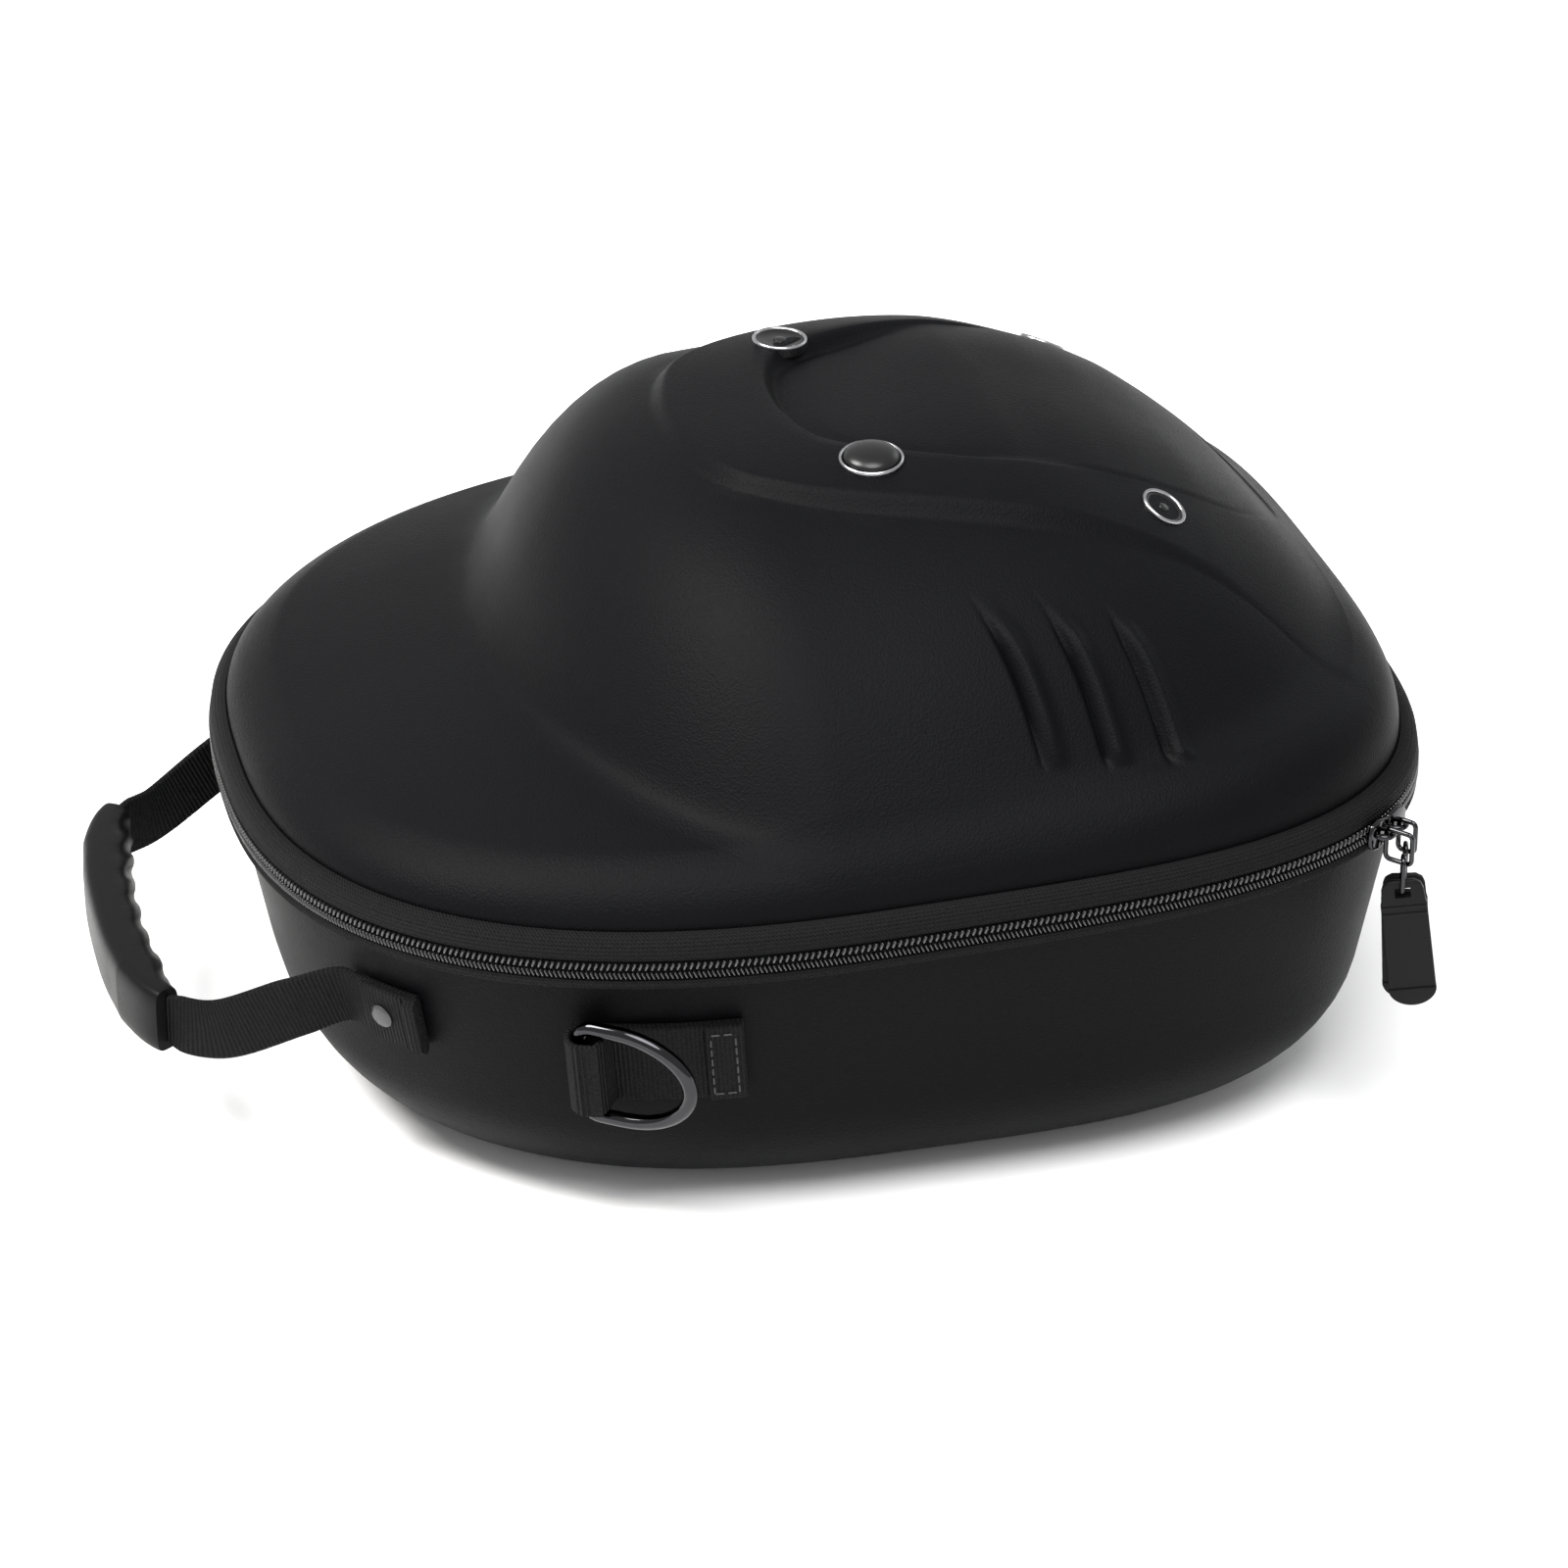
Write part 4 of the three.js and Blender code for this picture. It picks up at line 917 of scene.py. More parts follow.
def model_bar():
    bpy.ops.object.select_all(action="DESELECT")
    bpy.ops.mesh.primitive_cylinder_add(vertices=8, radius=1, depth=2)
    bar = bpy.context.object
    bpy.ops.object.mode_set(mode="EDIT")
    bpy.ops.mesh.select_all(action="SELECT")
    bpy.ops.mesh.bevel(offset=0.22, segments=1)
    bpy.ops.object.mode_set(mode="OBJECT")
    points = np.array([v.co for v in bar.data.vertices])
    faces = [tuple(p.vertices) for p in bar.data.polygons]
    bpy.data.objects.remove(bar)
    return points, faces


def tooth_angles(pitch):
    """Directions round the case that lie one pitch apart along the zip."""
    fine = np.radians(np.linspace(coil_from, coil_to, 4000))
    length = run_lengths(zip_ring(fine, 0, 0))
    count = int(length[-1] / pitch)
    return np.interp((np.arange(count) + 0.5) * length[-1] / (count + 1), length, fine)


def unit_rows(rows):
    return rows / np.linalg.norm(rows, axis=1, keepdims=True)


def make_coil(name, side):
    points, faces = model_bar()
    angles = tooth_angles(tooth_pitch[side])
    at = zip_ring(angles, coil_inset, 0)
    forward = unit_rows(zip_ring(angles + 0.002, coil_inset, 0) - at)
    upward = np.array([-parting_slope, 0, 1.0])
    outward = unit_rows(np.cross(forward, upward))
    bar = unit_rows(side * upward + tooth_slant * forward)
    across = np.cross(outward, bar)
    half = coil_height / 2 * tooth_fill
    middle = at + side * upward * (coil_height / 2 + gap / 2)
    shaped = (points[:, 0][None, :, None] * across[:, None] * tooth_width[side] * tooth_depth
              + points[:, 1][None, :, None] * outward[:, None] * tooth_depth
              + points[:, 2][None, :, None] * bar[:, None] * half)
    total = (middle[:, None] + shaped).reshape(-1, 3)
    stacked = [tuple(i + k * len(points) for i in face) for k in range(len(at)) for face in faces]
    return recalculate(mesh_piece(name, total, stacked))


upper_coil = make_coil("zip_coil_upper", 1)
finish_piece(upper_coil, "lid", coil_nylon, ["upper_teeth"], smooth=50)
lower_coil = make_coil("zip_coil_lower", -1)
finish_piece(lower_coil, "base", coil_nylon, ["lower_teeth"], smooth=50)
print("coil faces:", len(upper_coil.data.polygons) + len(lower_coil.data.polygons))

# %% [markdown]
# Behind the coil each tape goes on as a thin dark web. Without it, light would show through between
# the teeth. It is a plain sleeve set in from the coil, one for each half.

# %% Webs behind the coil
def make_web(name, side, body):
    low, high = sorted((side * 0.1, side * (upper_low + 0.3)))
    section = [(2.6, low), (1.5, low), (1.5, high), (2.6, high)]
    web = swept(name, section, 0, 360, zip_rays)
    return finish_piece(web, body, tape_weave)


make_web("zip_web_upper", 1, "lid")
make_web("zip_web_lower", -1, "base")
print("webs behind the coil made")

# %% [markdown]
# On the far side no zip runs. A strip of cloth joins tray and lid there and folds when the lid opens,
# so it is one piece, set between the two bodies and riding on neither of them.

# %% Cloth hinge
def make_hinge():
    rows = np.linspace(-upper_low, upper_low, 13)
    outer = [(0.35 + 0.25 * math.cos(math.pi * rise / upper_low), rise) for rise in rows]
    inner = [(inset + 0.8, rise) for inset, rise in outer[::-1]]
    return swept("cloth_hinge", outer + inner, 90 - hinge_half + 0.2, 90 + hinge_half - 0.2, 60)


cloth_hinge = make_hinge()
finish_piece(cloth_hinge, None, tape_weave, ["hinge_tape_lower", "hinge_tape_upper"])
hinge_height = parting(0) * mm
fold = upper_low * mm
hinge_height - fold
hinge_height + fold
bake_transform(cloth_hinge)
print("cloth hinge:", len(cloth_hinge.data.polygons), "faces")

# %% [markdown]
# The round fittings are turned parts. By hand you would draw half of the section and spin it round
# its axis. The profile is a list of radius and height, and the spin is closed by merging doubles.

# %% Turned parts
def turned(name, profile, steps=40):
    mesh = bpy.data.meshes.new(name)
    points = [(r * mm, 0, z * mm) for r, z in profile]
    mesh.from_pydata(points, [(k, k + 1) for k in range(len(points) - 1)], [])
    piece = bpy.data.objects.new(name, mesh)
    bpy.context.scene.collection.objects.link(piece)
    select_only(piece)
    bpy.ops.object.mode_set(mode="EDIT")
    bpy.ops.mesh.select_all(action="SELECT")
    bpy.ops.mesh.spin(steps=steps, angle=2 * math.pi, center=(0, 0, 0), axis=(0, 0, 1))
    bpy.ops.object.mode_set(mode="OBJECT")
    return recalculate(piece, 2e-6)


def move_mesh(piece, at, turn):
    """Turns and moves a piece's mesh, and leaves the object at the origin."""
    piece.data.transform(Matrix.Translation(at) @ turn.to_4x4())
    piece.data.update()
    return piece


def settle(piece, at, x_axis, y_axis, z_axis):
    return move_mesh(piece, at, Matrix((x_axis, y_axis, z_axis)).transposed())


def stand_on(piece, at, out):
    """Turns a piece's +Z to a surface's outward direction."""
    return move_mesh(piece, at, Vector(out).to_track_quat("Z", "Y").to_matrix())


print("turning helper ready")

# %% [markdown]
# Three eyelets have a bright rolled rim round a dark cup with a small plug in it. The fourth fitting
# is a glossy black dome in the same kind of rim.

# %% Eyelets and dome
fitting_shares = {
    "dome_stud": (0.066, -0.31), "eyelet_front": (0.036, 0.268),
    "eyelet_rear_near": (0.543, -0.406), "eyelet_rear_far": (0.543, 0.406),
}
most_fitting_lift = 0.9
rim_width = 1.3
front_eyelet_radius = 8.0
rear_eyelet_radius = 6.9
dome_radius = 9.1
dome_rise = 2.9


def fitting_place(node, radius):
    """Seat of a fitting: the plane that fits the surface under its disc, raised to its highest spot."""
    along, aside = fitting_shares[node]
    turns, reaches = np.meshgrid(np.arange(16) * math.pi / 8, np.linspace(1, radius - 1, 4))
    under = lid_points((along * half_length + reaches * np.cos(turns)).ravel(),
                       (aside * half_width + reaches * np.sin(turns)).ravel())
    at = under.mean(axis=0)
    out = np.linalg.svd(under - at)[2][2]
    out = out if out[2] > 0 else -out
    lift = min(float(((under - at) @ out).max()), most_fitting_lift)
    print(node, "seat raised", round(lift, 2), "mm")
    return Vector(at + out * lift) * mm, Vector(out)


def rim_profile(radius):
    inner = radius - 1.2
    return [(inner, -2.6), (radius - 0.2, -2.6), (radius, -0.1), (radius, 0.25), (radius - 0.2, 0.6),
            (radius - 0.55, 0.75), (radius - 0.95, 0.6), (inner + 0.05, 0.25), (inner, -0.2), (inner, -2.6)]


def cup_profile(r):
    return [(0, -0.8), (r, -0.8), (r, 0.25), (r - 0.6, -0.1), (r * 0.5, -0.35), (r * 0.3, -0.3),
            (r * 0.26, 0.15), (r * 0.12, 0.4), (0, 0.42)]


def dome_profile(r):
    foot = 0.5
    turns = [math.pi / 2 * k / 9 for k in range(1, 9)]
    bow = [(r * math.cos(turn), foot + dome_rise * math.sin(turn)) for turn in turns]
    return [(0, -0.8), (r, -0.8), (r, foot), *bow, (0, foot + dome_rise)]


def make_fitting(node, radius, word, profile):
    """A bright rim, and inside it the black part that the profile describes."""
    at, out = fitting_place(node, radius)
    rim = stand_on(turned(node + "_rim", rim_profile(radius)), at, out)
    finish_piece(rim, "lid", bright_plate, [node])
    inner = stand_on(turned(f"{node}_{word}", profile(radius - rim_width)), at, out)
    return finish_piece(inner, "lid", black_enamel)


make_fitting("eyelet_front", front_eyelet_radius, "cup", cup_profile)
make_fitting("eyelet_rear_near", rear_eyelet_radius, "cup", cup_profile)
make_fitting("eyelet_rear_far", rear_eyelet_radius, "cup", cup_profile)
make_fitting("dome_stud", dome_radius, "cap", dome_profile)

# %% [markdown]
# The tray's wall carries the handle and the ring straps, so each place on it needs three directions:
# towards the rear, up the wall, and out of it. The near flank is the side towards -Y.

# %% Directions on the wall
flanks = {"near": -1, "far": 1}


def wall_point(angle, z):
    inset = float(tray_inset_at(z))
    x, y = plan_points(np.array([angle]), inset)[0]
    return Vector((x, y, z * parting(x) / parting_height))


def wall_frame(angle, z):
    step = 0.02
    turn = (wall_point(angle + step, z) - wall_point(angle - step, z)).normalized()
    rearward = turn * (-1 if turn.x < 0 else 1)
    rise = wall_point(angle, z + 1) - wall_point(angle, z - 1)
    up = (rise - rearward * rise.dot(rearward)).normalized()
    out = rearward.cross(up)
    if out.y * math.sin(angle) < 0:
        out.negate()
    return wall_point(angle, z), rearward, up, out


print("outwards at the near ring:", [round(c, 2) for c in wall_frame(math.radians(-124), 57)[3]])

# %% [markdown]
# The handle is one length of ribbed webbing. It is riveted to each flank, lifts off the wall, and
# runs round the brim end. Its path is a smooth curve through a few chosen points.

# %% Path of the webbing
webbing_width = 18.0
webbing_thickness = 2.0
webbing_lift = 1.4
handle_height = 60.7
grip_height = 42.0
handle_reach = 32.3
grip_length = 112.0
tab_angle = 141.4
rivet_angle = 145.5
leave_angle = 151.0


def open_curve(points, count):
    """An open smooth curve through the points, with its tangents, at even distances."""
    points = np.asarray(points, float)
    first = 2 * points[0] - points[1]
    last = 2 * points[-1] - points[-2]
    padded = np.vstack([first, points, last])
    samples = []
    for k in range(1, len(padded) - 2):
        samples += curve_span(padded[k - 1:k + 3], 40)
    samples = np.array([*samples, points[-1]])
    length = run_lengths(samples)
    even = np.linspace(0, length[-1], count)
    path = np.column_stack([np.interp(even, length, samples[:, k]) for k in range(3)])
    tangents = np.gradient(path, axis=0)
    return path, tangents / np.linalg.norm(tangents, axis=1, keepdims=True)


def handle_points():
    offset = gap + webbing_thickness / 2

    def on_wall(degrees, lift=0.0):
        at, _, _, out = wall_frame(math.radians(-degrees), handle_height)
        return tuple(at + out * (offset + lift))

    near = [
        on_wall(tab_angle), on_wall((tab_angle + rivet_angle) / 2), on_wall(rivet_angle),
        on_wall((rivet_angle + leave_angle) / 2, 0.3 * webbing_lift), on_wall(leave_angle, webbing_lift),
        (front_x + 0.05 * front_length, -0.505 * half_width, 0.52 * handle_height + 0.48 * grip_height),
        (front_x - 0.4 * handle_reach, -0.44 * half_width, grip_height),
        (front_x - 0.78 * handle_reach, -grip_length / 2, grip_height),
        (front_x - 0.96 * handle_reach, -grip_length / 4, grip_height),
    ]
    far = [(x, -y, z) for x, y, z in near[::-1]]
    return near + [(front_x - handle_reach, 0.0, grip_height)] + far


handle_path, handle_tangents = open_curve(handle_points(), 221)
print("webbing:", round(float(run_lengths(handle_path)[-1])), "mm long")

# %% [markdown]
# The webbing's broad side lies against the wall at its ends and turns upright in front. It narrows
# only inside the grip, where its edges are folded in. The section has eight corners.

# %% Webbing of the handle
webbing_fold_in = 3.0


def webbing_directions(at, along):
    _, _, wall_up, _ = wall_frame(math.atan2(at[1], at[0] - widest_x), handle_height)
    upright = float(smooth_step((front_x + 0.14 * front_length - at[0]) / (0.12 * front_length)))
    up = Vector(wall_up).lerp(Vector((0, 0, 1)), upright).normalized()
    along = Vector(along)
    up = (up - along * up.dot(along)).normalized()
    return up, along.cross(up).normalized()


def webbing_half(at):
    inside = smooth_step((grip_length / 2 + 5 - abs(at[1])) / 8) if at[0] < front_x else 0.0
    return webbing_width / 2 - webbing_fold_in * float(inside)


def flat_section(at, up, out, wide, thick):
    """A strip's section from its half width and half thickness, with its corners cut off."""
    edge = min(thick, wide) * 0.6
    corners = [(-wide, -thick + edge), (-wide + edge, -thick), (wide - edge, -thick), (wide, -thick + edge),
               (wide, thick - edge), (wide - edge, thick), (-wide + edge, thick), (-wide, thick - edge)]
    return [tuple(Vector(at) + up * w + out * t) for w, t in corners]


def make_webbing():
    rings = []
    for at, along in zip(handle_path, handle_tangents):
        up, out = webbing_directions(at, along)
        rings.append(flat_section(at, up, out, webbing_half(at), webbing_thickness / 2))
    return loft("handle_webbing", rings)


handle_webbing = make_webbing()
finish_piece(handle_webbing, "base", webbing_weave, ["handle_strap"])
print("webbing faces:", len(handle_webbing.data.polygons))

# %% [markdown]
# At each end the webbing is folded back on itself, which leaves a thick roll at the very end. The
# fold is a short loft that doubles the strip, and a rivet holds the two together.

# %% Folded ends of the webbing
fold_length = 17.0
roll_length = 1.2


def make_tab(word, side):
    path = handle_path if side < 0 else handle_path[::-1]
    length = run_lengths(path)
    rings = []
    for s in np.linspace(-roll_length, fold_length, 30):
        k = int(np.searchsorted(length, max(s, 0.0)))
        along = Vector(path[k + 1]) - Vector(path[k])
        along.normalize()
        at = Vector(path[k]) + along * min(s, 0.0)
        _, _, up, out = wall_frame(math.atan2(at.y, at.x - widest_x), handle_height)
        up = (up - along * up.dot(along)).normalized()
        roll = 1.0 + 2.0 * math.exp(-((s - 0.6) / 1.6) ** 4) - 0.6 * math.exp(-((s - 3.1) / 0.7) ** 2)
        centre = at + out * (webbing_thickness * 0.95)
        half = webbing_width / 2 + 0.25
        rings.append(flat_section(centre, up, out, half, webbing_thickness * 0.42 * roll))
    return finish_piece(loft("handle_tab_" + word, rings), "base", webbing_weave)


def make_rivet(word, side):
    node = "handle_rivet_" + word
    at, _, _, out = wall_frame(math.radians(side * rivet_angle), handle_height)
    profile = [(0, 0), (3.4, 0), (3.6, 0.3), (3.2, 0.8), (2.2, 1.15), (1.0, 1.3), (0, 1.32)]
    rivet = turned(node + "_head", profile, 28)
    lift = gap + webbing_thickness * 1.9
    stand_on(rivet, (at + out * lift) * mm, out)
    return finish_piece(rivet, "base", rivet_plate, [node])


rivet_plate = hard("rivet_plate", (0.06, 0.06, 0.062), 0.4, 0.5, wear=0.06, scale=600.0, metallic=0.8)
for word, side in flanks.items():
    make_tab(word, side)
for word, side in flanks.items():
    make_rivet(word, side)
print("handle ends made")

# %% [markdown]
# The grip is a padded wrap sewn shut along its inner edge. Its outer face is taut and smooth, and
# the seam draws the inner face into slanting gathers. The gathers are a wave that runs round and
# along at once, strongest near the seam.

# %% Grip
grip_depth = 14.5
grip_tall = 20.5
gather_pitch = 15.0
gather_depth = 0.5


def grip_section(at, up, out, share, sides=72):
    swell = 0.93 + 0.07 * math.sin(math.pi * share) ** 0.4
    thick = 0.62 + 0.38 * min(1.0, 6 * share, 6 - 6 * share)
    along = share * grip_length
    ring = []
    for i in range(sides):
        turn = 2 * math.pi * (i + 0.5) / sides
        w, t = math.sin(turn), math.cos(turn)
        power = 2.4 if t > 0 else 5.0
        square = (abs(w) ** power + abs(t) ** power) ** (-1 / power)
        w, t = w * square, t * square
        inner = max(0.0, t) ** 1.5
        wave = math.sin(2 * math.pi * (along / gather_pitch + 1.3 * w))
        pinch = gather_depth * inner * (abs(wave) ** 0.6 * math.copysign(1, wave))
        seam = -0.7 * math.exp(-((turn if turn < math.pi else turn - 2 * math.pi) / 0.1) ** 2)
        size = 1.0 + (pinch + seam) / (grip_depth / 2)
        ring.append(tuple(Vector(at) + up * (w * grip_tall / 2 * swell * (0.5 + 0.5 * size))
                          + out * (t * grip_depth / 2 * thick * size)))
    return ring


def make_grip():
    inside = np.abs(handle_path[:, 1]) <= grip_length / 2 + 1.5
    front = handle_path[:, 0] < front_x
    stations = handle_path[inside & front]
    tangents = handle_tangents[inside & front]
    even = np.linspace(0, 1, len(stations))
    rings = []
    for share in np.linspace(0, 1, 200):
        at = [np.interp(share, even, stations[:, k]) for k in range(3)]
        along = [np.interp(share, even, tangents[:, k]) for k in range(3)]
        up, out = webbing_directions(at, Vector(along).normalized())
        rings.append(grip_section(at, up, out, share))
    return loft("handle_wrap", rings)


handle_wrap = make_grip()
finish_piece(handle_wrap, "base", grip_cloth, ["handle_grip"], smooth=50)
print("grip faces:", len(handle_wrap.data.polygons))

# %% [markdown]
# Each ring hangs in a loop of webbing that is sewn flat to the flank. The strip starts at the rear,
# runs along the wall, goes round the ring's bar and comes back over itself.

# %% Ring straps
ring_angle = 123.95
ring_height = 57.6
ring_strap_width = 25.0
ring_strap_length = 41.4
ring_strap_thickness = 1.5
ring_wire = 4.2
ring_reach = 31.0
ring_lean = math.radians(12)
ring_room = ring_wire / 2 + gap + 1.5
ring_seat = 1.2
loop_flat = 3.2
ridge_pitch = 1.5
ridge_depth = 0.2


def ring_node_place(side):
    at, rearward, up, out = wall_frame(math.radians(side * ring_angle), ring_height)
    return at, rearward, up, out, gap + ring_strap_thickness + ring_room


def wall_profile(side, length, steps):
    """How far the wall falls away from its tangent, at distances towards the rear."""
    angle = math.radians(side * ring_angle)
    at, rearward, _, out = wall_frame(angle, ring_height)
    turns = angle - side * np.linspace(0, 0.62, 400)
    rows = [wall_point(turn, ring_height) - at for turn in turns]
    s = np.array([row.dot(rearward) for row in rows])
    n = np.array([row.dot(out) for row in rows])
    wanted = np.linspace(0, length, steps)
    return wanted, np.interp(wanted, s, n)


def make_ring_strap(word, side):
    node = "ring_strap_" + word
    at, rearward, up, out, bar_out = ring_node_place(side)
    s, n = wall_profile(side, ring_strap_length, 36)
    loop = ring_room + ring_strap_thickness / 2
    under = [(a, b + gap + ring_strap_thickness / 2) for a, b in zip(s[::-1], n[::-1])]
    round_bar = [(loop * math.cos(t), bar_out + loop * math.sin(t))
                 for t in np.linspace(-0.5 * math.pi, -1.5 * math.pi, 40)]
    lap = gap + ring_strap_thickness * 1.5 + 0.05
    top = bar_out + loop
    lap_from = loop_flat + 4.0
    fine = np.concatenate([np.arange(0.4, lap_from, 0.4), s[s > lap_from]])
    fall = np.interp(fine, s, n)
    over = [(a, top + (lap + b - top) * float(smooth_step((a - loop_flat) / 3.6)))
            for a, b in zip(fine, fall)]
    line = np.array(under + round_bar[1:] + over)
    tangent = np.gradient(line, axis=0)
    tangent /= np.linalg.norm(tangent, axis=1, keepdims=True)
    rings = []
    half = ring_strap_width / 2
    for (a, b), (ta, tb) in zip(line, tangent):
        centre = at + rearward * float(a) + out * float(b)
        side_way = rearward * float(-tb) + out * float(ta)
        on_loop = max(0.0, 1 - abs(float(a) - 1) / 5) if b > bar_out else 0.0
        ridge = ridge_depth * min(1.0, 3 * on_loop) * math.sin(2 * math.pi * float(a) / ridge_pitch)
        rings.append(flat_section(centre, up, side_way, half, ring_strap_thickness / 2 + ridge))
    strap = loft(node + "_webbing", rings)
    return finish_piece(strap, "base", webbing_weave, [node])


for word, side in flanks.items():
    make_ring_strap(word, side)
print("ring straps made")

# %% [markdown]
# Each strap's last stretch is turned under, and a box of stitches holds it. One stitch is a short
# bar, copied along the lines of the seam.

# %% Stitches on the ring straps
stitch_length = 2.3
stitch_gap = 1.0
thread_radius = 0.28
strap_end = 9.5
seam_from_end = 1.6
seam_from_edge = 2.2


def make_strap_end(word, side):
    """The strap's last stretch is turned under, so it lies thicker."""
    at, rearward, up, out, _ = ring_node_place(side)
    s, n = wall_profile(side, ring_strap_length + 0.3, 120)
    rings = []
    turned_under = s > ring_strap_length - strap_end
    for a, b in zip(s[turned_under], n[turned_under]):
        centre = at + rearward * float(a) + out * float(b + gap + 2.35 * ring_strap_thickness)
        rings.append(flat_section(centre, up, out, ring_strap_width / 2 + 0.2, ring_strap_thickness / 2))
    return finish_piece(loft("strap_end_" + word, rings), "base", webbing_weave)


def stitch_lines(side):
    at, rearward, up, out, _ = ring_node_place(side)
    s, n = wall_profile(side, ring_strap_length, 80)
    lift = gap + 2.85 * ring_strap_thickness + 0.1
    half = ring_strap_width / 2 - seam_from_edge

    def on_strap(a, w):
        return at + rearward * float(a) + out * float(np.interp(a, s, n) + lift) + up * w

    inner = ring_strap_length - strap_end + 1.4
    outer = ring_strap_length - seam_from_end
    rows = [[on_strap(a, w) for w in np.linspace(-half, half, 40)] for a in (outer, inner)]
    rows += [[on_strap(a, w) for a in np.linspace(inner, outer, 20)] for w in (-half, half)]
    return rows, out


def make_stitches(word, side):
    rows, out = stitch_lines(side)
    points, faces = model_bar()
    stacked_points, stacked_faces = [], []
    for row in rows:
        row = np.array([tuple(p) for p in row])
        length = run_lengths(row)
        for start in np.arange(0.2, length[-1] - stitch_length * 0.6, stitch_length + stitch_gap):
            a = Vector([np.interp(start, length, row[:, k]) for k in range(3)])
            b = Vector([np.interp(start + stitch_length, length, row[:, k]) for k in range(3)])
            along = (b - a).normalized()
            across = along.cross(out).normalized()
            up = across.cross(along)
            half = (b - a).length / 2
            base = len(stacked_points)
            for px, py, pz in points:
                point = (a + b) / 2 + across * float(px) * thread_radius
                point += up * float(py) * thread_radius * 0.8 + along * float(pz) * half
                stacked_points.append(tuple(point))
            stacked_faces += [tuple(base + i for i in face) for face in faces]
    piece = recalculate(mesh_piece("strap_stitches_" + word, stacked_points, stacked_faces))
    return finish_piece(piece, "base", thread_paint)


thread_paint = hard("thread_paint", (0.014, 0.014, 0.0145), 0.55, specular=0.4, wear=0.05, scale=900.0)
for word, side in flanks.items():
    make_strap_end(word, side)
    make_stitches(word, side)
print("stitches made")

# %% [markdown]
# The rings are bent from round wire: a straight bar and a wide bow. A line of points becomes a curve
# with a round bevel, which is the quickest way to wire, and is then made a mesh.

# %% Wire
ring_play = 0.7
ring_corner = 4.4
ring_shoulder = 0.34


def wire_piece(name, points, radius, closed=True, sides=6):
    """Round wire along points in millimetres."""
    curve = bpy.data.curves.new(name, "CURVE")
    curve.dimensions = "3D"
    curve.bevel_depth = radius * mm
    curve.bevel_resolution = sides
    curve.use_fill_caps = True
    spline = curve.splines.new("POLY")
    spline.points.add(len(points) - 1)
    for slot, p in zip(spline.points, points):
        slot.co = (*(Vector(p) * mm), 1)
    spline.use_cyclic_u = closed
    piece = bpy.data.objects.new(name, curve)
    bpy.context.scene.collection.objects.link(piece)
    select_only(piece)
    bpy.ops.object.convert(target="MESH")
    return recalculate(bpy.context.object)


def ring_line():
    """The ring in its own plane: the bar along Y and the bow towards X."""
    half = ring_strap_width / 2 + ring_play + ring_wire / 2
    corner = ring_corner
    shoulder = ring_shoulder * ring_reach
    line = [(0, y, 0) for y in np.linspace(-half + corner, half - corner, 12)]
    line += [(corner - corner * math.cos(t), half - corner + corner * math.sin(t), 0)
             for t in np.linspace(0, math.pi / 2, 9)[1:]]
    line += [(shoulder + (ring_reach - shoulder) * math.sin(t), half * math.cos(t), 0)
             for t in np.linspace(0, math.pi, 49)]
    line += [(corner - corner * math.sin(t), -half + corner - corner * math.cos(t), 0)
             for t in np.linspace(0, math.pi / 2, 9)[:-1]]
    return line


def make_ring(word, side):
    node = "d_ring_" + word
    at, rearward, up, out, bar_out = ring_node_place(side)
    reach = rearward * math.cos(ring_lean) + out * math.sin(ring_lean)
    across = reach.cross(up).normalized()
    ring = wire_piece(node + "_wire", ring_line(), ring_wire / 2)
    settle(ring, (at + out * bar_out - rearward * ring_seat) * mm, reach, up, across)
    return finish_piece(ring, "ring_" + word, black_plate, [node], smooth=60)


for word, side in flanks.items():
    make_ring(word, side)
print("rings made")

# %% [markdown]
# Two sliders meet at the rear corner. Each is a small plate with rounded edges and a wire bail. A
# plate is drawn flat, extruded, and its edges are bevelled.

# %% Sliders
slider_angle = 42.3
teeth_proud = 0.6
slider_face = teeth_proud + gap
slider_plate = 1.6
slider_length = 9.4
slider_height = 9.0
bail_wire = 1.6
bail_span = 5.4
bail_root = 0.6
link_wire = 1.4
wire_room = 0.35
inner_arm = slider_face + slider_plate + link_wire / 2 + 2 * gap
bail_top = inner_arm + link_wire / 2 + wire_room + bail_wire / 2
pull_spread = 6.8


def slider_axes():
    angle = -math.radians(slider_angle)
    here, ahead, behind = plan_points(np.array([angle, angle + 0.02, angle - 0.02]), 0.0)
    forward = Vector((behind[0] - ahead[0], behind[1] - ahead[1], 0)).normalized()
    up = Vector((0, 0, 1))
    at = Vector((here[0], here[1], parting(here[0])))
    return at * mm, forward, up.cross(forward), up


slider_at, slider_forward, slider_out, slider_up = slider_axes()


def settle_slider(piece):
    return settle(piece, slider_at, slider_forward, slider_out, slider_up)


def plate(name, outline, depth, out, bevel, segments):
    """A flat outline in X and Z, extruded along Y by its depth, with bevelled edges."""
    count = len(outline)
    back = [(x, out, z) for x, z in outline]
    front = [(x, out + depth, z) for x, z in outline]
    faces = [tuple(range(count)), tuple(range(2 * count - 1, count - 1, -1))]
    faces += [(i, count + i, count + (i + 1) % count, (i + 1) % count) for i in range(count)]
    piece = recalculate(mesh_piece(name, back + front, faces))
    rounding = piece.modifiers.new("rounding", "BEVEL")
    rounding.width = bevel * mm
    rounding.segments = segments
    rounding.limit_method = "ANGLE"
    rounding.angle_limit = math.radians(40)
    bpy.ops.object.modifier_apply(modifier=rounding.name)
    return piece


